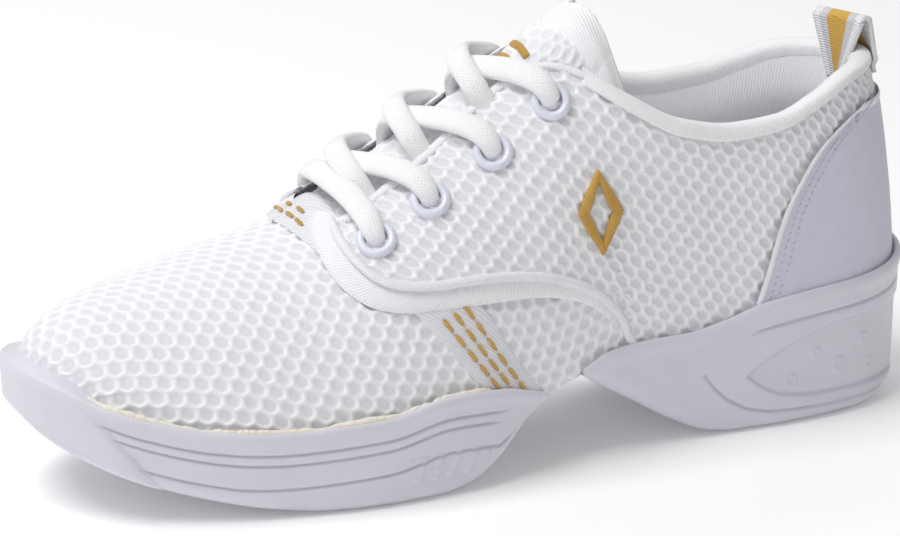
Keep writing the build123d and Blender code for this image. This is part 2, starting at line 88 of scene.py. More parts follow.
feather = curve((0, 24), (20, 17.5), (45, 14), (75, 13), (105, 14), (125, 18), (141, 23), (160, 27),
                (200, 27), (262, 26))
ridge = curve((0, 25), (4, 37), (10, 45.5), (20, 51), (35, 55), (50, 58.5), (70, 63.5), (90, 73),
              (110, 86), (130, 99), (150, 115.5), (165, 134), (185, 156), (262, 160))
ridge_offset = curve((0, 3), (30, 5), (60, 6), (100, 3), (150, 0), (262, 0))
fullness = curve((0, 2.3), (50, 2.2), (90, 1.8), (130, 1.6), (155, 1.7), (185, 2.0), (262, 2.0))
topline_lateral = curve((141, 109), (152, 106), (165, 98), (180, 90), (196, 87), (212, 88),
                        (228, 92), (245, 96.5), (262, 98))
topline_medial = curve((141, 109), (152, 106), (165, 99), (180, 92.5), (196, 90), (212, 90.5),
                       (228, 93), (245, 96.5), (262, 98))
back_lean = curve((0, -1), (26, -0.5), (48, -1.5), (70, -4), (85, -6.5), (98, -10), (112, -12))
forefoot_bottom = curve((0, 24), (4, 20), (12, 15.5), (26, 10), (42, 5.4), (58, 2), (74, 0.2),
                        (84, 0), (104, 0), (113, 1.6), (121, 6), (129, 14), (136, 21.5))
forefoot_top = curve((0, 39), (7, 37), (16, 32.3), (26, 29), (42, 25.5), (62, 24), (88, 25),
                     (106, 28), (122, 27), (136, 23))
heel_bottom = curve((148, 25), (154, 21), (166, 13.5), (178, 6), (188, 1.4), (196, 0), (240, 0),
                    (250, 2.2), (257, 6), (262, 12))
heel_top = curve((148, 27), (156, 30.5), (168, 31.5), (180, 31.5), (192, 33.5), (204, 37),
                 (216, 38.5), (235, 39.5), (250, 40.5), (262, 42))


def ease(value):
    value = np.clip(value, 0.0, 1.0)
    return value * value * (3 - 2 * value)


def between_knots(a, b, c, d, u):
    """The smooth curve from b to c, with a before and d after, at u from 0 to 1."""
    return 0.5 * (2 * b + (c - a) * u + (2 * a - 5 * b + 4 * c - d) * u * u
                  + (3 * b - a - 3 * c + d) * u ** 3)


def unit(vectors):
    return vectors / np.linalg.norm(vectors, axis=-1, keepdims=True)


def outline(tau, inset=0.0):
    """along and y on the plan outline; tau is 0 at the toe, 0.5 at the heel, 1 at the toe."""
    count = len(OUTLINE)
    place = (np.asarray(tau, float) % 1.0) * count
    i = np.floor(place).astype(int) % count
    u = (place - np.floor(place))[..., None]
    a, b, c, d = (OUTLINE[(i + k - 1) % count] for k in range(4))
    at = between_knots(a, b, c, d, u)
    run = unit(0.5 * (c - a + 2 * (2 * a - 5 * b + 4 * c - d) * u
                      + 3 * (3 * b - a - 3 * c + d) * u * u))
    inset = np.asarray(inset, float)
    return at[..., 0] - inset * run[..., 1], at[..., 1] + inset * run[..., 0]


TAUS = np.linspace(0, 1, 4001)
HEEL = len(TAUS) // 2
ALONGS = outline(TAUS)[0]


def tau_at(along, lateral=True):
    if lateral:
        return np.interp(along, ALONGS[:HEEL + 1], TAUS[:HEEL + 1])
    return np.interp(-np.asarray(along, float), -ALONGS[HEEL:], TAUS[HEEL:])


def bare_last(tau, rise, roundness=None):
    """Points on the last itself; roundness stands in for the fullness of the section."""
    along, y = outline(tau, SOLE_LIP)
    full = roundness or fullness(along)
    angle = np.clip(rise, 0.0, 1.0) * math.pi / 2
    out = np.maximum(0.0, np.cos(angle)) ** (2 / full)
    low, high = feather(along), ridge(along)
    middle = ridge_offset(along)
    z = low + (high - low) * np.sin(angle)
    lean = back_lean(z) * ease((along - 190) / 60)
    x = along + lean - LENGTH / 2
    return np.stack(np.broadcast_arrays(x, middle + (y - middle) * out, z), -1)


def last(tau, rise, offset=0.0, roundness=None):
    """Points of the last: rise 0 is the feather line and 1 the ridge; offset is outwards."""
    tau, rise, offset = np.broadcast_arrays(*(np.asarray(v, float) for v in (tau, rise, offset)))
    small = 2e-3
    here = bare_last(tau, rise, roundness)
    across = bare_last(tau + small, rise, roundness) - bare_last(tau - small, rise, roundness)
    upward = (bare_last(tau, np.minimum(0.999, rise + small), roundness)
              - bare_last(tau, np.maximum(0.0, rise - small), roundness))
    normal = np.cross(across, upward)
    normal /= np.linalg.norm(normal, axis=-1, keepdims=True) + 1e-12
    return here + normal * offset[..., None]


HALVINGS = 26


def rise_at(tau, height):
    """The rise at which the last reaches a height, found by halving."""
    tau, height = np.broadcast_arrays(np.asarray(tau, float), np.asarray(height, float))
    low, high = np.zeros(tau.shape), np.ones(tau.shape)
    for _ in range(HALVINGS):
        middle = (low + high) / 2
        under = bare_last(tau, middle)[..., 2] < height
        low, high = np.where(under, middle, low), np.where(under, high, middle)
    return (low + high) / 2


def over_foot(along, side):
    """tau and rise for a place along the shoe and a side from -1 (lateral feather) to 1."""
    along, side = np.broadcast_arrays(np.asarray(along, float), np.asarray(side, float))
    tau = np.where(side <= 0, tau_at(along, True), tau_at(along, False))
    return tau, 1 - np.abs(side)


def quarter_offset(along):
    """How far the quarter stands off the last: on the vamp in front, and on the last behind."""
    return 2.2 - 2.0 * ease((along - 135) / 30)


def side_rise(along, z, lateral=True):
    return rise_at(tau_at(along, lateral), z)


def side_name(lateral):
    return "lateral" if lateral else "medial"


# ---------------------------------------------------------------- paths
def run_length(path):
    """The distance along a path at each of its points."""
    return np.r_[0, np.cumsum(np.linalg.norm(np.diff(path, axis=0), axis=1))]


def at_places(places, length, values):
    """Three-part values of a path, read off at places along its length."""
    return np.stack([np.interp(places, length, values[:, k]) for k in range(3)], 1)


def smooth_knots(knots, count, pace=1.0):
    """Samples through matched knots, each a row of numbers, paced by the gaps to a power."""
    knots = np.asarray(knots, float)
    gaps = np.linalg.norm(np.diff(knots, axis=0), axis=1)
    chord = np.r_[0, np.cumsum(gaps ** pace)]
    padded = np.vstack([2 * knots[0] - knots[1], knots, 2 * knots[-1] - knots[-2]])
    t = np.linspace(0, chord[-1], count)
    i = np.clip(np.searchsorted(chord, t, side="right") - 1, 0, len(knots) - 2)
    u = ((t - chord[i]) / (chord[i + 1] - chord[i]))[:, None]
    return between_knots(padded[i], padded[i + 1], padded[i + 2], padded[i + 3], u)


def spline_points(points, count):
    """Evenly spaced points on a smooth path through a few points."""
    smooth = smooth_knots(points, count, pace=0.5)
    length = run_length(smooth)
    return at_places(np.linspace(0, length[-1], count), length, smooth)


def grid_uv(down, across):
    return np.stack(np.meshgrid(down, across, indexing="ij"), -1)


# ---------------------------------------------------------------- meshes
def new_object(name, points, faces, uv=None, floats=None, smooth=True):
    mesh = bpy.data.meshes.new(name)
    mesh.from_pydata((np.asarray(points) * MM).tolist(), [], [tuple(map(int, f)) for f in faces])
    if uv is not None:
        layer = mesh.uv_layers.new(name="cloth")
        loops = np.empty(len(mesh.loops), int)
        mesh.loops.foreach_get("vertex_index", loops)
        layer.data.foreach_set("uv", (np.asarray(uv)[loops]).astype(np.float32).ravel())
    for key, values in (floats or {}).items():
        attribute = mesh.attributes.new(key, "FLOAT", "POINT")
        attribute.data.foreach_set("value", np.asarray(values, np.float32).ravel())
    mesh.polygons.foreach_set("use_smooth", [smooth] * len(mesh.polygons))
    mesh.update()
    obj = bpy.data.objects.new(name, mesh)
    bpy.context.scene.collection.objects.link(obj)
    return obj


def grid_faces(rows, columns, wrap_rows=False, wrap_columns=False, keep=None):
    """Quads between grid points; keep says which of them are made."""
    r = np.arange(rows if wrap_rows else rows - 1)
    c = np.arange(columns if wrap_columns else columns - 1)
    a, b = np.meshgrid(r, c, indexing="ij")
    if keep is not None:
        a, b = a[keep], b[keep]
    a, b = a.ravel(), b.ravel()
    a2, b2 = (a + 1) % rows, (b + 1) % columns
    return np.stack([a * columns + b, a2 * columns + b, a2 * columns + b2, a * columns + b2], 1)


def grid_object(name, points, uv=None, floats=None, wrap_rows=False, wrap_columns=False,
                keep=None, flip=False):
    rows, columns = points.shape[:2]
    faces = grid_faces(rows, columns, wrap_rows, wrap_columns, keep)
    if flip:
        faces = faces[:, ::-1]
    flat = points.reshape(-1, 3)
    uv = None if uv is None else uv.reshape(-1, 2)
    floats = {k: v.ravel() for k, v in (floats or {}).items()}
    if keep is not None:
        used = np.unique(faces)
        new = np.full(len(flat), -1)
        new[used] = np.arange(len(used))
        faces, flat = new[faces], flat[used]
        uv = None if uv is None else uv[used]
        floats = {k: v[used] for k, v in floats.items()}
    return new_object(name, flat, faces, uv, floats)


def sweep(path, profile, out):
    """Grid of a profile (x across, y out) carried along a path, with one profile and one out
    direction for each point."""
    run = unit(np.gradient(path, axis=0))
    out = unit(out - run * (out * run).sum(1, keepdims=True))
    across = np.cross(run, out)
    return path[:, None] + across[:, None] * profile[..., 0:1] + out[:, None] * profile[..., 1:2]


def cap_faces(rows, columns):
    """Quads across both ends of a flat closed skin, whose columns run out and back."""
    caps = []
    for row, order in ((0, 1), (rows - 1, -1)):
        start = row * columns
        for k in range(columns // 2 - 1):
            quad = [start + k, start + k + 1, start + columns - 2 - k, start + columns - 1 - k]
            caps.append(quad[::order])
    return caps


def ring(count, radius_x, radius_y, power=2.0):
    angle = np.linspace(0, 2 * math.pi, count, endpoint=False)
    c, s = np.cos(angle), np.sin(angle)
    return np.stack([radius_x * np.sign(c) * np.abs(c) ** (2 / power),
                     radius_y * np.sign(s) * np.abs(s) ** (2 / power)], 1)


def join(name, parts):
    for o in bpy.context.selected_objects:
        o.select_set(False)
    for o in parts:
        o.select_set(True)
    bpy.context.view_layer.objects.active = parts[0]
    bpy.ops.object.join()
    parts[0].name = name
    parts[0].data.name = name
    return parts[0]


def weld(obj):
    """Merges points that lie on each other, and drops faces that this leaves without area."""
    work = bmesh.new()
    work.from_mesh(obj.data)
    bmesh.ops.remove_doubles(work, verts=work.verts, dist=2e-6)
    bmesh.ops.dissolve_degenerate(work, edges=work.edges, dist=1e-7)
    work.to_mesh(obj.data)
    work.free()


# ---------------------------------------------------------------- honeycomb
# Weaves: from one hole to the next along a row, and up to the next row, in cloth millimetres.
VAMP_WEAVE = ((4.85, -2.45), (1.67, 2.70))
QUARTER_WEAVE = ((4.60, -1.90), (2.40, 2.25))
TONGUE_WEAVE = ((5.0, -0.8), (2.3, 2.9))


ROW_STEP = 0.866
HOLE_EDGE = 0.55
WALL_RUN = 0.36


def honeycomb(u, v, weave):
    """Relief of the mesh at cloth coordinates in millimetres: about 0 in a hole, 1 on a wall."""
    (au, av), (bu, bv) = weave
    cell = au * bv - av * bu
    p, q = (u * bv - v * bu) / cell, (v * au - u * av) / cell
    x, y = p + q / 2, q * ROW_STEP
    best = np.full(np.shape(u), 9.0)
    height = np.zeros(np.shape(u))
    for shift in (0.0, 0.5):
        row = np.round(q / 2 - shift) * 2 + 2 * shift
        dx = np.abs((x - shift) - np.round(x - shift))
        dy = y - row * ROW_STEP
        hexagon = np.maximum(dx, 0.5 * dx + ROW_STEP * np.abs(dy)) / 0.5
        near = 0.6 * hexagon + 0.4 * np.hypot(dx, dy) / 0.535
        closer = near < best
        best = np.where(closer, near, best)
        height = np.where(closer, q - row, height)
    wall = ease((best - HOLE_EDGE) / WALL_RUN)
    # The lower lip of each hole stands higher, and each hole's floor rises a little towards its
    # lower edge. Relief also sets the mesh colour, so these parts are painted lighter as well:
    # partly real relief, partly painted highlight of light from above.
    lip = 0.95 - 0.5 * height
    return np.clip(wall * lip + 0.07 * (1 - wall) * (0.5 - height), 0, 1.3)


# ---------------------------------------------------------------- materials
def linear(r, g, b):
    return tuple((c / 255 / 12.92 if c / 255 <= 0.04045 else ((c / 255 + 0.055) / 1.055) ** 2.4)
                 for c in (r, g, b)) + (1.0,)


class Finish:
    """A node material built up step by step."""

    def __init__(self, name, colour, rough=0.6, sheen=0.0, coat=0.0, specular=0.5):
        self.mat = bpy.data.materials.new(name)
        self.mat.use_nodes = True
        self.nodes, self.links = self.mat.node_tree.nodes, self.mat.node_tree.links
        self.shader = self.nodes["Principled BSDF"]
        self.shader.inputs["Base Color"].default_value = colour
        self.shader.inputs["Roughness"].default_value = rough
        self.shader.inputs["Sheen Weight"].default_value = sheen
        self.shader.inputs["Sheen Roughness"].default_value = 0.5
        self.shader.inputs["Coat Weight"].default_value = coat
        self.shader.inputs["Specular IOR Level"].default_value = specular
        self.shader.inputs["Subsurface Radius"].default_value = (1.0, 0.9, 0.85)
        self.shader.inputs["Subsurface Scale"].default_value = 0.002
        self.colour = None
        self.height = None
        self.start = colour

    def node(self, kind, **settings):
        made = self.nodes.new(kind)
        for key, value in settings.items():
            if hasattr(made, key):
                setattr(made, key, value)
            else:
                made.inputs[key.replace("_", " ")].default_value = value
        return made

    def mapped(self, source, scale, turn=0.0):
        mapping = self.node("ShaderNodeMapping", Scale=scale, Rotation=(0, 0, math.radians(turn)))
        self.links.new(source, mapping.inputs["Vector"])
        return mapping.outputs["Vector"]

    def cloth(self, scale=(1, 1, 1), turn=0.0):
        """Cloth coordinates in millimetres."""
        return self.mapped(self.node("ShaderNodeUVMap", uv_map="cloth").outputs["UV"], scale, turn)

    def body(self, scale):
        """Coordinates of the object in space, for finishes that no cloth direction drives."""
        return self.mapped(self.node("ShaderNodeTexCoord").outputs["Object"], (scale,) * 3)

    def noise(self, where, scale=1.0, detail=3.0):
        made = self.node("ShaderNodeTexNoise", Scale=scale, Detail=detail)
        self.links.new(where, made.inputs["Vector"])
        return made.outputs["Fac"]

    def wave(self, turn, scale, distortion=0.0):
        """Parallel ribs on the cloth, turned from its long direction."""
        made = self.node("ShaderNodeTexWave", Scale=scale, Distortion=distortion)
        self.links.new(self.cloth(turn=turn), made.inputs["Vector"])
        return made.outputs["Fac"]

    def attribute(self, name):
        return self.node("ShaderNodeAttribute", attribute_name=name).outputs["Fac"]

    def ramp(self, value, low, high, out_low=0.0, out_high=1.0):
        made = self.node("ShaderNodeMapRange")
        made.inputs["From Min"].default_value = low
        made.inputs["From Max"].default_value = high
        made.inputs["To Min"].default_value = out_low
        made.inputs["To Max"].default_value = out_high
        self.links.new(value, made.inputs["Value"])
        return made.outputs["Result"]

    def tint(self, factor, colour, amount=1.0):
        """Mixes another colour in where factor is 1."""
        made = self.node("ShaderNodeMix")
        made.data_type = "RGBA"
        a = next(i for i in made.inputs if i.name == "A" and i.type == "RGBA")
        b = next(i for i in made.inputs if i.name == "B" and i.type == "RGBA")
        result = next(o for o in made.outputs if o.name == "Result" and o.type == "RGBA")
        if self.colour is None:
            a.default_value = self.start
        else:
            self.links.new(self.colour, a)
        b.default_value = colour
        if amount != 1.0:
            factor = self.ramp(factor, 0, 1, 0, amount)
        self.links.new(factor, made.inputs["Factor"])
        self.colour = result
        self.links.new(result, self.shader.inputs["Base Color"])
        return self

    def blotches(self, where, scale, low, high, colour, amount):
        """Soft patches of another colour."""
        return self.tint(self.ramp(self.noise(where, scale), low, high), colour, amount)

    def rough(self, factor, low, high):
        self.links.new(self.ramp(factor, 0, 1, low, high), self.shader.inputs["Roughness"])
        return self

    def bump(self, factor, strength, distance=0.0003):
        made = self.node("ShaderNodeBump", Strength=strength, Distance=distance)
        self.links.new(factor, made.inputs["Height"])
        if self.height is not None:
            self.links.new(self.height, made.inputs["Normal"])
        self.height = made.outputs["Normal"]
        self.links.new(self.height, self.shader.inputs["Normal"])
        return self


THREAD_WHITE = linear(247, 247, 249)


def mesh_finish(name, hole_shade, contrast):
    f = Finish(name, THREAD_WHITE, rough=0.62, sheen=0.25)
    # Where the relief is low, in the holes, the colour is tinted towards the given grey: painted
    # shade in the recesses of the mesh.
    f.tint(f.ramp(f.attribute("relief"), 0.05, 0.62, 1.0, 0.0), hole_shade, contrast)
    f.blotches(f.cloth(), 0.35, 0.45, 0.75, linear(232, 232, 238), 0.35)
    for turn in (32, -32):
        f.bump(f.wave(turn, 0.95, 0.6), 0.18, 0.00015)
    return f.mat


RIB_WAVE = 0.3142


def ribbed_finish(name, colour, pitch, tilt, strength, rib_shade_and_mottle=linear(214, 214, 222)):
    """Ribbed tape: pitch in millimetres from rib to rib, and tilt of the ribs in degrees."""
    f = Finish(name, colour, rough=0.55, sheen=0.3)
    ribs = f.wave(tilt, RIB_WAVE / pitch, 0.15)
    # The valleys between the ribs are tinted darker: painted shade. The blotches below use the same
    # colour as random tone.
    f.tint(f.ramp(ribs, 0.0, 0.45, 1.0, 0.0), rib_shade_and_mottle, 0.75)
    f.blotches(f.cloth(), 0.25, 0.4, 0.8, rib_shade_and_mottle, 0.25)
    f.bump(ribs, strength, 0.00035)
    f.bump(f.noise(f.cloth((1, 3, 1)), 2.0), 0.2, 0.0001)
    return f.mat


# The grey given for the holes is painted shade.
MESH = mesh_finish("mesh_white", linear(220, 221, 228), 0.8)
MESH_TONGUE = mesh_finish("mesh_tongue", linear(228, 229, 234), 0.8)
RIBBED = ribbed_finish("ribbed_white", THREAD_WHITE, 0.85, 8.0, 0.35, linear(229, 229, 235))
RIBBED_COLLAR = ribbed_finish("collar_elastic", linear(248, 248, 250), 0.9, -10.0, 0.3,
                              linear(233, 233, 238))
PIPING = ribbed_finish("piping_white", THREAD_WHITE, 0.6, 35.0, 0.35)
STRAP_CLOTH = ribbed_finish("strap_white", linear(236, 236, 241), 1.3, 62.0, 0.4)
LINING_CLOTH = ribbed_finish("lining_grey", linear(246, 246, 249), 0.9, 20.0, 0.25,
                             linear(232, 232, 238))


def counter_finish():
    f = Finish("counter_lilac", linear(217, 216, 232), rough=0.55, sheen=0.3)
    ribs = f.wave(52.0, 0.507, 0.15)
    rib_shade_and_mottle = linear(202, 201, 218)
    # The valleys between the ribs are tinted darker: painted shade.
    f.tint(f.ramp(ribs, 0.0, 0.45, 1.0, 0.0), rib_shade_and_mottle, 0.7)
    f.blotches(f.cloth(), 0.25, 0.4, 0.8, rib_shade_and_mottle, 0.25)
    f.tint(f.ramp(f.attribute("edge"), 0.35, 0.6), linear(243, 243, 247))
    # The stitch holes are tinted dark lilac: painted shade in the holes.
    f.tint(f.ramp(f.attribute("groove"), 0.3, 0.8), linear(160, 158, 180), 0.8)
    f.bump(ribs, 0.45, 0.0003)
    return f.mat


COUNTER = counter_finish()


def sole_finish():
    f = Finish("sole_white", linear(217, 216, 225), rough=0.42, coat=0.05, specular=0.45)
    f.shader.inputs["Subsurface Weight"].default_value = 0.12
    f.blotches(f.body(60), 1.0, 0.45, 0.75, linear(209, 208, 218), 0.5)
    # Grooves, the toe bumper's trailing edge and the tread cuts are tinted darker: painted shade in
    # them.
    f.tint(f.ramp(f.attribute("groove"), 0.1, 1.0), linear(184, 183, 197), 0.8)
    f.bump(f.noise(f.body(1400), 1.0, 2.0), 0.12, 0.0001)
    f.rough(f.noise(f.body(90), 1.0), 0.34, 0.52)
    return f.mat


def gold_finish():
    f = Finish("thread_gold", linear(222, 170, 52), rough=0.42, sheen=0.4, specular=0.6)
    strands = f.wave(0, 1.15, 0.8)
    # Darker between the strands and lighter on their crests: painted shade and painted highlight on
    # the thread.
    f.tint(f.ramp(strands, 0.0, 0.5, 1.0, 0.0), linear(160, 108, 18), 0.7)
    f.tint(f.ramp(strands, 0.75, 1.0), linear(246, 206, 104), 0.6)
    f.bump(strands, 0.7, 0.0002)
    return f.mat


def lace_finish():
    f = Finish("lace_white", linear(248, 248, 249), rough=0.58, sheen=0.35)
    f.shader.inputs["Subsurface Weight"].default_value = 0.05
    one, two = (f.wave(turn, 0.42, 0.1) for turn in (40, -40))
    # Darker in the grooves of one braid direction: painted shade.
    f.tint(f.ramp(one, 0.0, 0.5, 1.0, 0.0), linear(228, 228, 233), 0.45)
    f.bump(one, 0.32, 0.0002)
    f.bump(two, 0.32, 0.0002)
    return f.mat


def eyelet_finish():
    f = Finish("eyelet_plastic", linear(226, 227, 240), rough=0.3, coat=0.25, specular=0.55)
    f.shader.inputs["Subsurface Weight"].default_value = 0.25
    f.blotches(f.body(300), 1.0, 0.4, 0.8, linear(212, 213, 230), 0.5)
    f.bump(f.noise(f.body(900), 1.0), 0.06, 0.0001)
    return f.mat


def glue_finish():
    f = Finish("glue_line", linear(240, 234, 222), rough=0.5)
    f.blotches(f.body(400), 1.0, 0.4, 0.7, linear(228, 216, 194), 0.6)
    f.bump(f.noise(f.body(700), 1.0), 0.5, 0.0002)
    return f.mat


def webbing_finish():
    f = Finish("webbing", linear(240, 240, 243), rough=0.6, sheen=0.3)
    across = f.attribute("across")
    f.tint(f.ramp(across, 6.1, 6.3, 1.0, 0.0), linear(205, 205, 214), 0.8)
    f.tint(f.ramp(across, 3.45, 3.6, 1.0, 0.0), linear(220, 172, 66))
    f.bump(f.wave(0, 0.45, 0.1), 0.6, 0.0003)
    f.bump(f.wave(90, 0.45, 0.1), 0.4, 0.0002)
    return f.mat


def floor_finish():
    f = Finish("studio_floor", linear(252, 252, 252), rough=0.7, specular=0.2)
    f.shader.inputs["Emission Color"].default_value = (1.0, 1.0, 1.0, 1.0)
    f.shader.inputs["Emission Strength"].default_value = 0.10
    f.bump(f.noise(f.body(30), 1.0), 0.02, 0.0002)
    return f.mat


SOLE, GOLD, LACE, EYELET = sole_finish(), gold_finish(), lace_finish(), eyelet_finish()
GLUE, WEBBING, FLOOR = glue_finish(), webbing_finish(), floor_finish()

# ---------------------------------------------------------------- cloth coordinates of the last
TABLE_ALONG = np.linspace(1, 261, 261)
TABLE_RISE = np.linspace(0, 0.998, 61)


def cloth_table(lateral):
    """Distances along and up the last, from its ridge at the middle, on a grid of places."""
    points = bare_last(tau_at(TABLE_ALONG, lateral)[:, None], TABLE_RISE[None, :])
    step_u = np.linalg.norm(np.diff(points, axis=0), axis=2)
    step_v = np.linalg.norm(np.diff(points, axis=1), axis=2)
    u = np.vstack([np.zeros(len(TABLE_RISE)), np.cumsum(step_u, 0)])
    v = np.hstack([np.zeros((len(TABLE_ALONG), 1)), np.cumsum(step_v, 1)])
    middle = np.argmin(abs(TABLE_ALONG - 140))
    u -= u[middle][None, :]
    v -= v[:, -1][:, None]
    return u, v


CLOTH_TABLES = {True: cloth_table(True), False: cloth_table(False)}


def cloth_uv(along, rise, lateral):
    """Millimetres along and up the cloth, v 0 on the ridge and negative below it."""
    i = np.interp(along, TABLE_ALONG, np.arange(len(TABLE_ALONG)))
    j = np.interp(rise, TABLE_RISE, np.arange(len(TABLE_RISE)))
    i0 = np.minimum(i.astype(int), len(TABLE_ALONG) - 2)
    j0 = np.minimum(j.astype(int), len(TABLE_RISE) - 2)
    a, b = i - i0, j - j0
    out = []
    for t in CLOTH_TABLES[lateral]:
        out.append((t[i0, j0] * (1 - a) + t[i0 + 1, j0] * a) * (1 - b)
                   + (t[i0, j0 + 1] * (1 - a) + t[i0 + 1, j0 + 1] * a) * b)
    return np.stack(out, -1)


def foot_uv(along, rise, side):
    """Cloth coordinates over both sides at once, v counted on past the ridge."""
    return np.where((side <= 0)[..., None], cloth_uv(along, rise, True),
                    cloth_uv(along, rise, False) * np.array([1, -1]))


PLAN_RUN = run_length(np.stack(outline(TAUS, SOLE_LIP), 1))
DATUM_HEIGHT = 55.0


def quarter_uv(along, rise, lateral):
    """Millimetres round the shoe and up its side from the datum height."""
    table = CLOTH_TABLES[lateral][1]
    level = rise_at(tau_at(TABLE_ALONG, lateral), DATUM_HEIGHT)
    datum = np.array([np.interp(r, TABLE_RISE, row) for r, row in zip(level, table)])
    uv = cloth_uv(along, rise, lateral)
    run = np.interp(tau_at(along, lateral), TAUS, PLAN_RUN)
    if not lateral:
        run = PLAN_RUN[-1] - run
    return np.stack([run, uv[..., 1] - np.interp(along, TABLE_ALONG, datum)], -1)


def topline(along, lateral):
    return topline_lateral(along) if lateral else topline_medial(along)


# How far the collar's band reaches down from the topline.
band = curve((150, 5.2), (170, 5.4), (196, 5.1), (223, 4.0), (245, 3.2), (262, 3.0))

# Matched knots of the quarter: lower edge (along, z) and upper edge (along, z), front to back.
QUARTER_KNOTS = [
    ((86.9, 68.3), (88.4, 68.4)), ((86.1, 66), (90.4, 69.1)), ((86.5, 63), (93.3, 70.5)),
    ((88.2, 59.8), (96.8, 72.6)), ((91.5, 56.7), (101, 75.4)), ((97, 54.9), (106.5, 78.8)),
    ((106, 54.4), (113.5, 83.4)), ((118, 55), (121.5, 88.9)), ((130, 54.5), (130, 95.2)),
    ((142, 52), (138.2, 101)), ((150, 48.5), (144.2, 104.2)), ((156, 44), (149.5, 105.2)),
    ((160.5, 38.5), (155.2, 103.8)), ((164, 31.5), (161.5, 99)),
]


# Behind them the quarter runs from the feather line up under the collar's band.
QUARTER_PLACES = (172, 182, 194, 206, 218, 230, 240, 248, 254, 258, 260.6, 261.97)
UNDER_BAND = 1.3


def matched_knots(lower, upper):
    """Rows of along and rise on two matched edges, each given as (along, z)."""
    return [[a, float(side_rise(a, z)), b, float(side_rise(b, y))]
            for (a, z), (b, y) in zip(lower, upper)]


def quarter_edges(lateral, count=620):
    """Lower and upper edge of a quarter as (along, rise), sampled alike."""
    rows = matched_knots(*zip(*QUARTER_KNOTS))
    for a in QUARTER_PLACES:
        top = topline(a, lateral) - band(a) + UNDER_BAND
        rows.append([a + 0.5, 0.0, a, float(side_rise(a, top, lateral))])
    return smooth_knots(rows, count)


def panel_between(edge, w):
    """along and rise across a panel, from its first edge at w 0 to its second at w 1."""
    return (edge[:, 0:1] * (1 - w) + edge[:, 2:3] * w,
            edge[:, 1:2] * (1 - w) + edge[:, 3:4] * w)


def dress(obj, *mats):
    obj.data.materials.clear()
    for m in mats:
        obj.data.materials.append(m)
    return obj


# ---------------------------------------------------------------- quarters
RELIEF = 0.55
CLOTH_SINK = 0.55
HEM_RELIEF = 0.55


def quarter(lateral):
    """A mesh panel, with its relief levelled out along the hems."""
    edges = quarter_edges(lateral)
    along, rise = panel_between(edges, np.linspace(0, 1, 96)[None, :])
    uv = quarter_uv(along, rise, lateral)
    relief = honeycomb(uv[..., 0], uv[..., 1], QUARTER_WEAVE)
    from_hem = np.minimum(np.linalg.norm(uv - uv[:, :1], axis=-1),
                          np.linalg.norm(uv - uv[:, -1:], axis=-1))
    fade = ease((from_hem - 0.6) / 1.6)
    relief = relief * fade + HEM_RELIEF * (1 - fade)
    offset = quarter_offset(along) - CLOTH_SINK + RELIEF * relief
    points = last(tau_at(along, lateral), rise, offset)
    obj = grid_object("quarter_" + side_name(lateral), points, uv, {"relief": relief},
                      flip=not lateral)
    return dress(obj, MESH), edges


PIPING_WIDTH, PIPING_HEIGHT, PIPING_LIFT = 2.6, 1.9, 0.15
PIPING_END = 165
PIPING_TAPER = 7
PIPING_SIDES = 14


def edge_piping(lateral):
    """The rolled lower edge of a quarter, tapered at both ends."""
    line = quarter_lines[lateral]
    line = line[:int(np.argmax(line[:, 0] > PIPING_END))]
    along, rise = line[:, 0], line[:, 1]
    tau = tau_at(along, lateral)
    base = last(tau, rise, quarter_offset(along) + PIPING_LIFT)
    out = last(tau, rise, quarter_offset(along) + PIPING_LIFT + 1) - base
    from_end = np.minimum(np.arange(len(base)), np.arange(len(base))[::-1])
    fat = np.sqrt(np.clip(1 - (1 - np.clip(from_end / PIPING_TAPER, 0, 1)) ** 2, 0.0004, 1))
    profile = ring(PIPING_SIDES, PIPING_WIDTH / 2, PIPING_HEIGHT / 2)
    around = np.arange(PIPING_SIDES) * (PIPING_WIDTH + PIPING_HEIGHT) * 1.5 / PIPING_SIDES
    obj = grid_object("edge_piping_" + side_name(lateral),
                      sweep(base, profile[None] * fat[:, None, None], out),
                      grid_uv(run_length(base), around), wrap_columns=True)
    return dress(obj, PIPING)


quarters, quarter_lines = {}, {}
for lateral in (True, False):
    quarters[lateral], quarter_lines[lateral] = quarter(lateral)


# ---------------------------------------------------------------- vamp
# The vamp is cut off this far up, along the shoe, where the quarter covers it.
VAMP_CUT = ([80, 83, 86, 91, 99, 131, 141, 150, 156, 164],
            [200, 73, 62, 57, 54, 54, 53, 51, 47, 38])


def vamp_panel():
    """The mesh over the toes with its wings to the arch, cut away at the throat."""
    ridge_along = np.linspace(2.2, 165, 900)
    run = run_length(np.stack([ridge_along, ridge(ridge_along)], 1))
    stations = np.interp(np.linspace(0, run[-1], 345), run, ridge_along)
    sides = np.linspace(-1, 1, 331)
    along, side = np.meshgrid(stations, sides, indexing="ij")
    tau, rise = over_foot(along, side)
    uv = foot_uv(along, rise, side)
    relief = honeycomb(uv[..., 0], uv[..., 1], VAMP_WEAVE)
    points = last(tau, rise, -0.5 + RELIEF * relief)
    hidden = (along > 86) & (points[..., 2] > np.interp(along, *VAMP_CUT) + 5)
    throat = (along > 84) & (np.abs(side) < 0.5)
    drop = hidden | throat
    keep = ~(drop[:-1, :-1] & drop[1:, :-1] & drop[:-1, 1:] & drop[1:, 1:])
    obj = grid_object("vamp", points, uv, {"relief": relief}, keep=keep)
    return dress(obj, MESH)


vamp = vamp_panel()

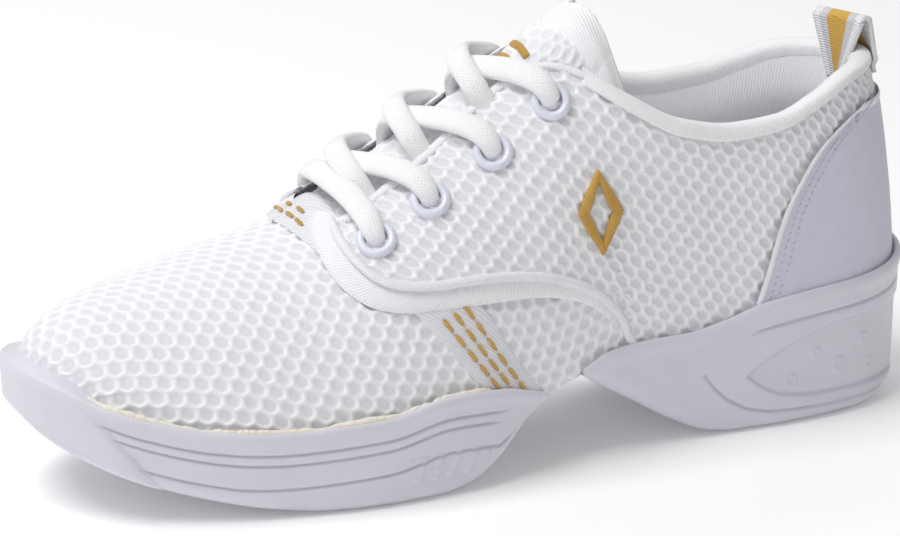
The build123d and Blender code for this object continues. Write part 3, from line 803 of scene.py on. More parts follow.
# ---------------------------------------------------------------- edge tape and strap
TAPE_OUTER = [
    (84.2, 69.0), (81.2, 66.4), (80.1, 62.4), (80.6, 58.4), (83.2, 54.4), (88.5, 50.8), (97, 49),
    (109, 48.7), (120, 48.8), (131, 48.6), (141, 47.3), (149.5, 44.3), (156, 39), (160, 31.5),
]
TAPE_INNER = [
    (88.4, 69.0), (88.2, 66.2), (88.6, 63.4), (90.2, 60.2), (93.4, 57.4), (98.5, 56.2),
    (107, 56), (113, 56), (120, 56.5), (131, 56), (143, 53.4), (151.8, 49.6), (158.2, 44.6),
    (165, 35),
]


def ribbon(name, outer, inner, lateral, offset, mat, roll, count, across, arch, flip):
    """A flat tape between two matched edges given as (along, z): its edges roll down, and its
    middle arches up. Returns the object and its points."""
    edge = smooth_knots(matched_knots(outer, inner), count)
    w = np.linspace(0, 1, across)[None, :]
    along, rise = panel_between(edge, w)
    bow = np.sqrt(np.clip(1 - (2 * w - 1) ** 2, 0, 1))
    lift = offset(along) - roll * (1 - bow ** 0.45) + arch * bow
    points = last(tau_at(along, lateral), rise, lift)
    length = run_length(points[:, across // 2])
    span = np.linalg.norm(points[:, -1] - points[:, 0], axis=1)
    uv = np.stack([np.broadcast_to(length[:, None], along.shape), span[:, None] * w], -1)
    return dress(grid_object(name, points, uv, flip=flip), mat), points


def tape_offset(along):
    return quarter_offset(along) - 1.25


tapes, pipings = {}, {}
for lateral in (True, False):
    tapes[lateral], _ = ribbon("edge_tape_" + side_name(lateral), TAPE_OUTER, TAPE_INNER, lateral,
                               tape_offset, RIBBED, roll=0.6, count=420, across=15, arch=0.6,
                               flip=lateral)
    pipings[lateral] = edge_piping(lateral)

THROAT_TAPE_WIDTH = 3.6


def throat_tape(lateral):
    """The folded edge of the quarter beside the laces and under the collar."""
    line = quarter_lines[lateral]
    line = line[4:int(np.argmax(line[:, 2] > 158))]
    low = last(tau_at(line[:, 0], lateral), line[:, 1])
    top = last(tau_at(line[:, 2], lateral), line[:, 3])
    span = np.maximum(np.linalg.norm(top - low, axis=1), 4.2)
    w = np.linspace(-0.06, 1, 11)[None, :] * (THROAT_TAPE_WIDTH / span)[:, None]
    along, rise = panel_between(line[:, [2, 3, 0, 1]], w)
    t = np.linspace(-1, 1, 11)[None, :]
    bow = (1 - t * t) ** 0.5
    points = last(tau_at(along, lateral), rise, quarter_offset(along) - 0.35 + 0.75 * bow)
    uv = grid_uv(run_length(top), np.linspace(0, 3.8, 11))
    obj = grid_object("throat_tape_" + side_name(lateral), points, uv, flip=lateral)
    return dress(obj, RIBBED)


throat_tapes = {lateral: throat_tape(lateral) for lateral in (True, False)}

# Matched edges of the instep strap as (along, z), from the throat down to the sole.
STRAP_REAR = [(88, 74), (88.5, 68), (89.5, 64), (92, 60.5), (101, 56.5), (110, 54), (117.5, 50),
              (124, 40), (129, 31.8), (136, 22)]
STRAP_FRONT = [(75.2, 72), (76.8, 65.2), (79, 63), (82.5, 59.5), (90, 54.5), (96, 51.6),
               (99.7, 48.5), (104.7, 42.4), (110.7, 34.8), (119.5, 23.5)]


def strap_offset(along):
    return np.full(np.shape(along), 0.5)


straps = {lateral: ribbon("instep_strap_" + side_name(lateral), STRAP_FRONT, STRAP_REAR, lateral,
                          strap_offset, STRAP_CLOTH, roll=0.5, count=260, across=33, arch=0.15,
                          flip=lateral) for lateral in (True, False)}


# ---------------------------------------------------------------- stitches
def stitch_row(name, centres, directions, normals, length, width, height):
    """Short lens-shaped gold stitches, one at each centre."""
    bar, around = 9, 10
    t = np.linspace(-1, 1, bar)
    fat = np.sqrt(np.clip(1 - t ** 4, 0, 1))[:, None]
    arch = (1 - t * t)[:, None] * height * 0.25
    profile = ring(around, 1, 1)[None]
    uv = grid_uv(t * length / 2, np.arange(around) * 0.4).reshape(-1, 2)
    points, faces, uvs = [], [], []
    for n, (centre, way, up) in enumerate(zip(centres, directions, normals)):
        way = unit(way)
        up = unit(up - way * (way @ up))
        across = np.cross(way, up)
        grid = (centre + way * (t * length / 2)[:, None, None]
                + across * (fat * profile[..., 0] * width / 2)[..., None]
                + up * (fat * profile[..., 1] * height / 2 + arch)[..., None])
        points.append(grid.reshape(-1, 3))
        faces.append(grid_faces(bar, around, wrap_columns=True) + n * bar * around)
        uvs.append(uv + [0, n * 1.7])
    return dress(new_object(name, np.vstack(points), np.vstack(faces), np.vstack(uvs)), GOLD)


def under_tape(along, z):
    """Where the edge tape and the quarter cover the strap."""
    front = np.interp(z, [49.5, 50.8, 54.4, 58.4, 62.4, 66.4, 69, 75],
                      [97, 88.5, 83.2, 80.6, 80.1, 81.2, 84.2, 86])
    return (z > 48.5) & (along > front - 1.5)


STITCH_GAP = 5.3
STRAP_MIDDLE = np.array([-30, 0, 20])


def gold_stitches():
    """Three rows of running stitches down each side of the strap, where nothing covers it."""
    made = []
    for lateral in (True, False):
        grid = straps[lateral][1]
        for row in (0.27, 0.5, 0.73):
            k = int(round(row * (grid.shape[1] - 1)))
            path = grid[:, k]
            out = np.cross(np.gradient(path, axis=0), grid[:, k + 3] - grid[:, k - 3])
            out *= 1 if lateral else -1
            length = run_length(path)
            places = np.arange(2.2 + row * 3, length[-1] - 1, STITCH_GAP)
            spots = at_places(places, length, path)
            places = places[~under_tape(spots[:, 0] + LENGTH / 2, spots[:, 2])]
            centres = at_places(places, length, path)
            ahead = at_places(places + 0.5, length, path)
            normals = unit(at_places(places, length, out))
            outward = (normals * (centres - STRAP_MIDDLE)).sum(1, keepdims=True)
            normals *= np.where(outward < 0, -1, 1)
            made.append(stitch_row("strap_stitches_%d_%d" % (lateral, k), centres + normals * 0.25,
                                   ahead - centres, normals, 4.7, 1.1, 0.85))
    return join("strap_stitches", made)


strap_stitches = gold_stitches()


# ---------------------------------------------------------------- counter panel
COUNTER_EDGE = [(197, 20), (201, 35), (204.8, 45.5), (207.5, 53.5), (211, 61.5), (217, 69.5),
                (224, 76.5), (231.5, 81), (240, 84.6), (248, 87)]
COUNTER_TOP = 86.6
ROLL = 0.9
HOLE_GAP = 2.1
edge_along = curve(*[(z, a) for a, z in COUNTER_EDGE])


def counter_panel():
    """The heel panel, with a rolled edge and two rows of stitch holes along its sides."""
    heights = np.linspace(25, COUNTER_TOP, 110)
    front = edge_along(heights)
    ends = np.stack([tau_at(front, True), tau_at(front, False)], 1)
    w = np.linspace(0, 1, 300)[None, :]
    tau = ends[:, 0:1] * (1 - w) + ends[:, 1:2] * w
    z = np.broadcast_to(heights[:, None], tau.shape)
    rise = rise_at(tau, z)
    run = np.linalg.norm(np.diff(bare_last(tau, rise), axis=1), axis=2)
    length = np.hstack([np.zeros((len(heights), 1)), np.cumsum(run, 1)])
    from_edge = np.minimum(length, length[:, -1:] - length)
    uv = np.stack([length - length[:, -1:] / 2, z], -1)
    rolled = np.maximum(np.exp(-((from_edge - ROLL) / ROLL) ** 2),
                        np.exp(-((COUNTER_TOP - z - ROLL) / ROLL) ** 2))
    down_edge = run_length(np.stack([heights, front], 1))[:, None]
    holes = np.zeros(z.shape)
    for row in (4.2, 6.6):
        phase = ((down_edge / HOLE_GAP + row) % 1 - 0.5) * HOLE_GAP
        holes = np.maximum(holes, np.exp(-((from_edge - row) / 0.45) ** 2 - (phase / 0.5) ** 2))
    points = last(tau, rise, 0.95 + 0.45 * rolled - 0.4 * holes)
    obj = grid_object("heel_counter_panel", points, uv, {"groove": holes, "edge": rolled})
    return dress(obj, COUNTER)


counter = counter_panel()


# ---------------------------------------------------------------- collar band, padding, lining
# Cross-section of the ribbed binding, from outside over the top and down the inside, as
# (out, up) from the topline.
COLLAR_PROFILE = [
    (0.8, -4.6), (1.2, -4.1), (1.3, -3.2), (1.3, -2.2), (1.0, -1.0), (0.4, -0.2), (-0.6, 0.15),
    (-1.8, 0.2), (-3.0, -0.1), (-4.2, -0.9), (-5.1, -2.2), (-5.6, -3.8), (-5.9, -5.2), (-6.1, -6.5),
]
COLLAR_FRONT = 155.5
FULL_BAND = 5.4
BINDING_DROP = 4.6


def around_collar():
    """From the lateral top of the throat round the heel to the medial side: outline values,
    places along, heights of the topline, and how full the band is."""
    tau = np.linspace(float(tau_at(COLLAR_FRONT, True)), float(tau_at(COLLAR_FRONT, False)), 420)
    along = outline(tau, SOLE_LIP)[0]
    top = np.where(tau < 0.5, topline_lateral(along), topline_medial(along))
    return tau, along, top, np.clip(band(along) / FULL_BAND, 0.5, 1.0)


def band_object(name, points, mat):
    across = run_length(points[len(points) // 2])
    uv = grid_uv(run_length(points[:, 0]), across)
    return dress(grid_object(name, points, uv), mat)


def collar_binding():
    tau, _, top, thin = around_collar()
    rows = []
    for out, up in COLLAR_PROFILE:
        z = top + up * np.where(up < -0.4, thin, 1.0)
        rise = rise_at(tau, np.minimum(z, top - 0.2))
        point = last(tau, rise, out)
        point[:, 2] = z + (point[:, 2] - bare_last(tau, rise)[:, 2]) * 0.3
        rows.append(point)
    sections = np.stack(rows, 1)
    points = np.stack([spline_points(section, 36) for section in sections])
    return band_object("collar_binding", points, RIBBED_COLLAR)


collar = collar_binding()


def collar_lining():
    """From the binding's inner edge over the padding and down to the foot bed."""
    tau, along, top, thin = around_collar()
    top = top - BINDING_DROP * thin
    low = feather(along) + 3.5
    rows = []
    for w in np.linspace(0, 1, 46):
        z = top * (1 - w) + low * w
        padding = 5.7 + 3.6 * np.sin(np.clip((top - z) / 22, 0, 1) * math.pi)
        calm = ease((top - z - 20) / 16)
        rise = rise_at(tau, np.minimum(z, top - 0.1))
        rows.append(last(tau, rise, -(padding * (1 - calm) + 3.4 * calm)))
    return band_object("rear_lining", np.stack(rows, 1), LINING_CLOTH)


lining = collar_lining()


# ---------------------------------------------------------------- tongue
TONGUE_DEPTH = 4.2
TONGUE_THICK = 4.7
TONGUE_HALF = 0.55
TONGUE_FOOT = 76
TONGUE_FULL = 2.05


def tongue_panel():
    """Padded tongue with its ribbed top edge, a closed skin up to 8 mm thick."""
    across, lengthwise = 121, 230
    side = np.linspace(-TONGUE_HALF, TONGUE_HALF, across)[None, :]
    w = np.linspace(0, 1, lengthwise)[:, None]
    top = 155.5 + 11.5 * (np.abs(side) / TONGUE_HALF) ** 1.3
    along = TONGUE_FOOT * (1 - w) + top * w
    side = np.broadcast_to(side, along.shape)
    tau, rise = over_foot(along, side)
    uv = foot_uv(along, rise, side)
    from_top = top - along
    mesh = ease((from_top - 5.8) / 1.0)
    relief = honeycomb(uv[..., 0], uv[..., 1], TONGUE_WEAVE)
    puff = 3.4 * np.clip(1 - (side / 0.42) ** 2, 0, 1) ** 0.6 * (0.35 + 0.65 * ease(from_top / 10))
    rolled = 1.6 * (1 - ease(from_top / 3.0))
    valley = -0.5 * np.exp(-((from_top - 6.1) / 0.7) ** 2)
    skin = -0.6 + puff - rolled + valley + 0.6 * relief * mesh + 0.25 * (1 - mesh)
    outer = last(tau, rise, skin - TONGUE_DEPTH, TONGUE_FULL)
    inner = last(tau, rise, rolled - TONGUE_DEPTH - TONGUE_THICK, TONGUE_FULL)
    closed = np.concatenate([outer, inner[:, ::-1]], 1)
    uv = np.concatenate([uv, uv[:, ::-1] + np.array([0, 90])], 1)
    back = np.full(relief.shape, 0.7)
    relief = np.concatenate([relief * mesh + 0.8 * (1 - mesh), back], 1)
    zone = np.concatenate([mesh, 0 * back], 1).ravel()
    rows, columns = closed.shape[:2]
    faces = np.vstack([grid_faces(rows, columns, wrap_columns=True), cap_faces(rows, columns)])
    obj = new_object("tongue", closed.reshape(-1, 3), faces, uv.reshape(-1, 2),
                     {"relief": relief.ravel()})
    dress(obj, MESH_TONGUE, RIBBED_COLLAR)
    for polygon in obj.data.polygons:
        if zone[list(polygon.vertices)].mean() < 0.5:
            polygon.material_index = 1
    return obj


tongue = tongue_panel()


BAR_DEPTH = -1.1


def tongue_bars():
    """Three short bars of satin stitches across the top of the tongue."""
    centres, ways, ups = [], [], []
    for place in (136.2, 139.8, 143.4):
        for k in np.linspace(-0.13, 0.05, 24):
            tau, rise = over_foot(place, k)
            at = last(tau, rise, BAR_DEPTH, TONGUE_FULL)
            centres.append(at)
            ways.append(at - last(tau_at(place - 1, k <= 0), rise, BAR_DEPTH, TONGUE_FULL))
            ups.append(last(tau, rise, 5.0, TONGUE_FULL) - at)
    return stitch_row("tongue_emblem", centres, ways, ups, 2.5, 0.8, 0.9)


tongue_emblem = tongue_bars()


# ---------------------------------------------------------------- side emblem
LOZENGE = np.array([(154.8, 56.6), (161.4, 67.8), (155.2, 79.4), (148.8, 68.2)])
STITCHES_A_SIDE = 15


def on_quarter(spot, lift):
    tau = tau_at(spot[0], True)
    return last(tau, rise_at(tau, spot[1]), quarter_offset(spot[0]) + lift)


def lozenge_emblem():
    """A plain embroidered lozenge ring of satin stitches, each pointing at its middle."""
    centres, ways, ups = [], [], []
    middle = LOZENGE.mean(0)
    for corner, following in zip(LOZENGE, np.roll(LOZENGE, -1, 0)):
        for t in np.linspace(0, 1, STITCHES_A_SIDE, endpoint=False):
            edge = corner + (following - corner) * t
            spot = edge + (middle - edge) * 0.16
            nearer = spot + unit(middle - edge) * 0.4
            at = on_quarter(spot, 0.45)
            centres.append(at)
            ways.append(on_quarter(nearer, 0.45) - at)
            ups.append(on_quarter(nearer, 2) - at)
    return stitch_row("side_emblem", centres, ways, ups, 3.5, 1.25, 1.4)


side_emblem = lozenge_emblem()


# ---------------------------------------------------------------- eyelets
EYELETS = [94.6, 110.4, 129.2, 146.3]
EYELET_RISE = 0.615


# Section of an eyelet, as (from its axis, out of the quarter).
EYELET_SECTION = np.array([
    (2.95, -1.8), (3.0, 0.0), (3.15, 0.75), (3.7, 1.2), (4.3, 1.3), (4.9, 1.05), (5.35, 0.45),
    (5.4, -0.1), (5.2, -0.5), (4.4, -0.7), (3.6, -1.2), (3.3, -1.9)])


def eyelet_frame(along, lateral):
    """Where an eyelet sits, and its directions out, ahead and aside."""
    tau = tau_at(along, lateral)
    at = last(tau, EYELET_RISE, quarter_offset(along))
    out = unit(last(tau, EYELET_RISE, quarter_offset(along) + 1) - at)
    ahead = last(tau_at(along + 1, lateral), EYELET_RISE, quarter_offset(along)) - at
    ahead = unit(ahead - out * (ahead @ out))
    return at, out, ahead, np.cross(out, ahead)


def eyelet_rings(lateral):
    turn = np.linspace(0, 2 * math.pi, 48, endpoint=False)[:, None]
    section = EYELET_SECTION[None]
    one = grid_faces(len(turn), len(EYELET_SECTION), True, True)
    points, faces = [], []
    for n, along in enumerate(EYELETS):
        at, out, ahead, side = eyelet_frame(along, lateral)
        spoke = ahead * np.cos(turn) + side * np.sin(turn)
        grid = at + spoke[:, None] * section[..., 0:1] + out * (section[..., 1:2] + 0.2)
        points.append(grid.reshape(-1, 3))
        faces.append(one + n * len(turn) * len(EYELET_SECTION))
    obj = new_object("eyelets_" + side_name(lateral), np.vstack(points), np.vstack(faces))
    return dress(obj, EYELET)


eyelets = {lateral: eyelet_rings(lateral) for lateral in (True, False)}


# ---------------------------------------------------------------- lace
LACE_WIDTH, LACE_THICK = 6.9, 3.4


def lace():
    """One flat oval lace: down one strand, over the front bar, and up the other strand."""

    def stop(along, side, out, width=LACE_WIDTH, thick=LACE_THICK):
        """A knot of the path: its place, its out direction, and the lace's size there."""
        tau, rise = over_foot(along, side)
        at = last(tau, rise, out)
        return [*at, *(last(tau, rise, out + 1) - at), width, thick]

    def crossing(row, s, lift):
        """From the eyelet of a row on one side, over the tongue, to the next row's opposite."""
        a, b = EYELETS[row], EYELETS[row + 1]
        gap = b - a
        q = float(quarter_offset(b))
        return [
            stop(a + 0.02 * gap, s * 0.36, -2.4, 6.4, 2.6),
            stop(a + 0.05 * gap, s * 0.30, -1.6, 7.0, 2.8),
            stop(a + 0.10 * gap, s * 0.235, 0.2, 6.8, 3.2),
            stop(a + 0.10 * gap, s * 0.15, 3.0 + lift * 0.7),
            stop(a + 0.14 * gap, s * 0.03, 4.6 + lift),
            stop(a + 0.32 * gap, -s * 0.10, 4.4 + lift * 0.8),
            stop(a + 0.62 * gap, -s * 0.21, q + 2.6 + lift * 0.2),
            stop(a + 0.87 * gap, -s * 0.30, q + 2.8, 6.8, 3.5),
            stop(a + 0.97 * gap, -s * 0.352, q + 2.2, 6.2, 3.5),
            stop(b, -s * 0.382, q + 0.3, 5.2, 3.6),
            stop(b + 0.3, -s * 0.388, -1.6, 5.2, 3.0),
        ]

    def strand(s):
        """From beside the front bar up through every row, and down inside."""
        stations = []
        for row in range(3):
            stations += crossing(row, s, 3.4 if s < 0 else 0.0)
            s = -s
        stations.append(stop(EYELETS[3] - 5, s * 0.40, -2.8, 6.0, 2.4))
        stations.append(stop(EYELETS[3] - 14, s * 0.43, -2.8, 6.0, 2.2))
        return stations

    def half_bar(s):
        """From inside the front eyelet to the middle of the bar."""
        a = EYELETS[0]
        q = float(quarter_offset(a))
        return [
            stop(a + 0.4, s * 0.388, -1.6, 5.2, 3.0),
            stop(a, s * 0.382, q + 0.3, 5.2, 3.6),
            stop(a - 0.1, s * 0.352, q + 2.2, 6.2, 3.5),
            stop(a - 0.4, s * 0.30, q + 2.7, 6.8, 3.5),
            stop(a - 1.6, s * 0.2, q + 3.0),
            stop(a - 3.2, s * 0.07, q + 3.2),
        ]

    stations = strand(-1)[::-1] + half_bar(-1) + half_bar(1)[::-1] + strand(1)
    samples = smooth_knots(stations, 1900)
    path, out, size = samples[:, :3], samples[:, 3:6], samples[:, 6:8]
    profile = ring(22, 1, 1, 2.35)[None] * (size[:, None, :] / 2)
    uv = grid_uv(run_length(path), np.arange(22) * 0.9)
    return dress(grid_object("shoelace", sweep(path, profile, out), uv, wrap_columns=True), LACE)


shoelace = lace()


# ---------------------------------------------------------------- sole units
def hump(value, width):
    """1 where value is 0, and fading on both sides of it."""
    return np.exp(-(value / width) ** 2)


def line_mark(along, z, stations, width):
    """1 on a line drawn on the side wall, fading to 0 a width away from it."""
    stations = np.asarray(stations, float)
    best = np.full(along.shape, 1e9)
    for p, q in zip(stations[:-1], stations[1:]):
        d = q - p
        t = np.clip(((along - p[0]) * d[0] + (z - p[1]) * d[1]) / (d @ d), 0, 1)
        best = np.minimum(best, (along - p[0] - t * d[0]) ** 2 + (z - p[1] - t * d[1]) ** 2)
    return np.exp(-best / width ** 2)


def forefoot_marks(along, z, top, bottom):
    """Grooves and raised parts of the forefoot unit's wall: two grooves under the edge bead, one
    above the tread, a bumper round the toe and slanted bars low on the side."""
    height = np.maximum(top - bottom, 1.0)
    down = top - z
    scale = np.clip(height / 21.0, 0.35, 1.0)
    bumper = 6.0 + (38 - z) * 0.75
    behind = ease((along - bumper) / 3.2)
    groove = np.zeros(along.shape)
    for depth, end in ((6.2, 126), (9.0, 124)):
        fade = 1 - ease((along - end + 8) / 8)
        groove = np.maximum(groove, hump(down - depth * scale, 0.42) * fade)
    low = np.maximum(bottom + 5.2 * scale, top - 15.6 * scale)
    rear = 1 - ease((along - 122) / 8)
    groove = np.maximum(groove, hump(z - low, 0.42) * rear) * behind
    bumper_edge = hump(along - bumper - 2.4, 1.0) * 0.4 * ease((top - 3 - z) / 3)
    bars = ease((0.22 - np.abs(((along - 0.45 * z) / 5.0) % 1 - 0.5)) / 0.06)
    bars = bars * ease((along - 93) / 1.0) * (1 - ease((along - 117) / 1.0))
    bars = bars * ease((z - 6.0) / 0.8) * (1 - ease((z - 12.4) / 0.8))
    raised = 0.5 * hump(down - 1.9, 1.9) + 0.9 * (1 - behind) * ease(down / 4) + 0.55 * bars
    return np.maximum(groove, bumper_edge), raised


eye_upper = curve((199, 16.3), (205, 20.3), (213, 24), (226.5, 27.6), (245, 28.6), (262, 28.8))
eye_lower = curve((199, 16.3), (204, 12.4), (210, 9.6), (222, 8), (245, 7.6), (262, 7.6))


HEEL_LINE = [(186, 18.5), (189, 14.5), (193, 10.6), (199, 7), (206, 5.2), (222, 4.3), (262, 4.3)]
# Rings in the heel's recess, as (along, z, radius).
HEEL_RINGS = [(213, 13.2, 1.5), (221.5, 19.6, 1.1), (229.5, 15.0, 1.9), (238.5, 21.0, 1.2),
              (241, 13.0, 1.3)]


def heel_marks(along, z, top, bottom):
    """Grooves and raised parts of the heel unit's wall: a groove under the edge bead, a line
    round a recess, and rings in the recess."""
    down = top - z
    groove = hump(down - 7.6, 0.42) * ease((along - 196) / 10)
    groove = np.maximum(groove, line_mark(along, z, HEEL_LINE, 0.45))
    inside = np.minimum(z - eye_lower(along), eye_upper(along) - z)
    inside = np.where(along > 199, inside, -1.0)
    recess = ease(inside / 1.0)
    groove = np.maximum(groove, 0.8 * hump(inside - 0.1, 0.5) * (along > 199))
    rings = np.zeros(along.shape)
    for a, h, radius in HEEL_RINGS:
        rings = np.maximum(rings, hump(np.hypot(along - a, z - h) - radius, 0.5))
    raised = 0.6 * hump(down - 2.1, 2.1) - 0.75 * recess + 0.5 * rings * recess
    return groove, raised


def tread(along, y):
    """Shallow cut pattern of the outsole: waves across the foot around a turning spot."""
    wave = np.abs(((along + 4 * np.cos(y / 9)) / 6.5) % 1 - 0.5)
    cuts = ease((0.13 - wave) / 0.06)
    spot = np.hypot(along - 84, y - 2)
    cuts = np.where(spot < 15, np.abs((spot / 4.0) % 1 - 0.5) < 0.14, cuts)
    return np.where(abs(spot - 15) < 0.8, 1.0, cuts)


WALL_INSET = 0.7
INNER_WALL = 2.4


def sole_stations(start, stop):
    """Places along a sole unit, close together round its end."""
    reach = abs(stop - start)
    steps = np.r_[(1 - np.cos(np.linspace(0, math.pi / 2, 60))) * 14, np.arange(14.5, reach, 0.62)]
    steps = np.r_[steps[steps < reach - 0.3], reach]
    steps[0] = 0.02
    return start + steps * np.sign(stop - start)


def sole_wall(stations, lateral, top, bottom, bed, inner_wall, marks):
    """One side of a sole unit, from its bed over the lip and down to the tread: along, y, z and
    groove. Only the outside is marked."""
    height = top - bottom
    curl = np.minimum(4.6, 0.46 * height)
    lip = np.minimum(1.2, 0.3 * height)
    wall = []
    for w in (0.0, 0.5, 1.0):
        wall.append((inner_wall, bed * (1 - w) + (top - lip) * w, 0))
    for angle in np.linspace(0, math.pi, 9)[1:]:
        inset = WALL_INSET + (inner_wall - WALL_INSET) * (1 + math.cos(angle)) / 2
        wall.append((inset, top - lip + lip * np.sin(angle), 1))
    for w in np.linspace(0, 1, 64)[1:]:
        inset = np.full(len(stations), WALL_INSET + 0.35 * w)
        wall.append((inset, (top - lip) * (1 - w) + (bottom + curl) * w, 1))
    for angle in np.linspace(0, math.pi / 2, 12)[1:]:
        inset = WALL_INSET + 0.35 + curl * (1 - np.cos(angle))
        wall.append((inset, bottom + curl - curl * np.sin(angle), 1))
    inset, z, marked = zip(*wall)
    inset, z, marked = np.stack(inset, 1), np.stack(z, 1), np.array(marked)[None, :]
    tau = tau_at(stations, lateral)[:, None]
    plain = outline(tau, 0 * inset)[0]
    groove, raised = marks(plain, z, top[:, None], bottom[:, None])
    inset = inset - (raised - 0.55 * groove) * marked * np.clip(height / 8, 0, 1)[:, None]
    along, y = outline(tau, inset)
    return along, y, z, groove * marked


def sole_unit(name, bottom_rule, top_rule, start, stop, marks, toe_wall=0.0):
    """A sole unit from its end at start to the arch at stop; toe_wall thickens its inner wall
    round that end."""
    stations = sole_stations(start, stop)
    top, bottom = top_rule(stations), bottom_rule(stations)
    bed = np.maximum(np.minimum(feather(stations) - 2.0, top - 0.6), bottom + 0.4)
    inner_wall = INNER_WALL + toe_wall * (1 - ease((np.abs(stations - start) - 7) / 14))
    halves = [sole_wall(stations, lateral, top, bottom, bed, inner_wall, marks)
              for lateral in (True, False)]
    for one, other in zip(halves[0][:2], halves[1][:2]):
        one[0] = other[0] = (one[0] + other[0]) / 2
    (la, ly, lz, lg), (ma, my, mz, mg) = halves
    w = np.linspace(0, 1, 86)[1:-1][None, :]
    under_a = la[:, -1:] * (1 - w) + ma[:, -1:] * w
    under_y = ly[:, -1:] * (1 - w) + my[:, -1:] * w
    edge = np.minimum(under_y - ly[:, -1:], my[:, -1:] - under_y)
    cut = tread(under_a, under_y) * ease((edge - 3) / 2)
    under_z = bottom[:, None] + 0.9 * cut * np.clip((top - bottom) / 10, 0, 1)[:, None]
    w = np.linspace(0, 1, 12)[1:-1][None, :]
    bed_a = ma[:, :1] * (1 - w) + la[:, :1] * w
    bed_y = my[:, :1] * (1 - w) + ly[:, :1] * w
    along = np.hstack([la, under_a, ma[:, ::-1], bed_a])
    y = np.hstack([ly, under_y, my[:, ::-1], bed_y])
    z = np.hstack([lz, under_z, mz[:, ::-1], np.broadcast_to(bed[:, None], bed_a.shape)])
    # The groove values also darken the tread cuts in the sole finish, as painted shade.
    groove = np.hstack([lg, 0.6 * cut, mg[:, ::-1], bed_a * 0])
    points = np.stack([along - LENGTH / 2, y, z], -1)
    rows, columns = points.shape[:2]
    arch_end = (rows - 1) * columns + np.arange(columns)
    faces = grid_faces(rows, columns, wrap_columns=True).tolist() + [arch_end[::-1].tolist()]
    if stop < start:
        faces = [face[::-1] for face in faces]
    uv = np.stack([along, z], -1).reshape(-1, 2)
    obj = new_object(name, points.reshape(-1, 3), faces, uv, {"groove": groove.ravel()})
    weld(obj)
    return dress(obj, SOLE)


forefoot_sole = sole_unit("forefoot_sole", forefoot_bottom, forefoot_top, 0, 136,
                          forefoot_marks, toe_wall=5.2)
heel_sole = sole_unit("heel_sole", heel_bottom, heel_top, 262, 148, heel_marks)


def glue_bead():
    """Cement that shows along the top edge of the forefoot unit."""
    start, stop = float(tau_at(118, False)) - 1, float(tau_at(118, True))
    tau = np.linspace(start, stop, 900)
    along = outline(tau, 0.0)[0]
    a, y = outline(tau, 1.9 + 2.2 * (1 - ease((along - 6) / 12)))
    rng = np.random.default_rng(5)
    wobble = np.convolve(rng.normal(0, 1, len(tau) + 30), np.ones(14) / 14, "same")[15:-15]
    z = forefoot_top(along) - 0.15 + 0.5 * wobble - 1.2 * (1 - ease((along - 8) / 10))
    path = np.stack([a - LENGTH / 2, y, z], 1)
    size = 0.6 + 0.4 * np.clip(wobble + 0.2, -0.6, 1)
    profile = ring(8, 1, 1.1)[None] * size[:, None, None]
    grid = sweep(path, profile, np.tile([0, 0, 1.0], (len(tau), 1)))
    return dress(grid_object("glue_line", grid, wrap_columns=True), GLUE)


glue = glue_bead()


SOCKLINER_INSET = 7.2


def sockliner(name, start, stop):
    """Foam sheet on the foot bed, cupped at its sides."""
    along = np.linspace(start, stop, 90)[:, None]
    w = np.linspace(0, 1, 40)[None, :]
    la, ly = outline(tau_at(along, True), SOCKLINER_INSET)
    ma, my = outline(tau_at(along, False), SOCKLINER_INSET)
    a, y = la * (1 - w) + ma * w, ly * (1 - w) + my * w
    cup = 2.2 * np.abs(2 * w - 1) ** 4
    z = feather(a) + 3.0 + cup
    points = np.stack([a - LENGTH / 2, y, z], -1)
    return dress(grid_object(name, points, np.stack([a, y], -1)), LINING_CLOTH)


sockliners = {"forefoot": sockliner("forefoot_sockliner_top", 9.5, 139),
              "rearfoot": sockliner("heel_sockliner_top", 144.5, 255)}


def vamp_inside():
    """Lining under the vamp, open at the throat."""
    along, side = np.meshgrid(np.linspace(7, 142, 120), np.linspace(-1, 1, 100), indexing="ij")
    tau, rise = over_foot(along, side)
    points = last(tau, rise, -3.0)
    uv = cloth_uv(along, rise, True)
    throat = (along > 86) & (np.abs(side) < 0.40)
    keep = ~(throat[:-1, :-1] | throat[1:, :-1] | throat[:-1, 1:] | throat[1:, 1:])
    return dress(grid_object("vamp_lining", points, uv, keep=keep), LINING_CLOTH)


vamp_lining = vamp_inside()


# ---------------------------------------------------------------- pull tab
TAB_TURN = math.radians(20)
TAB_AT = (244.8, 1.5)
TAB_HALF = 8.6
TAB_BEND_Z, TAB_BEND = 104.7, 2.0
TAB_THICK = 1.3
# The outer leg stands further out above this height, to clear the collar's binding.
COLLAR_SEAM_Z = 94.4


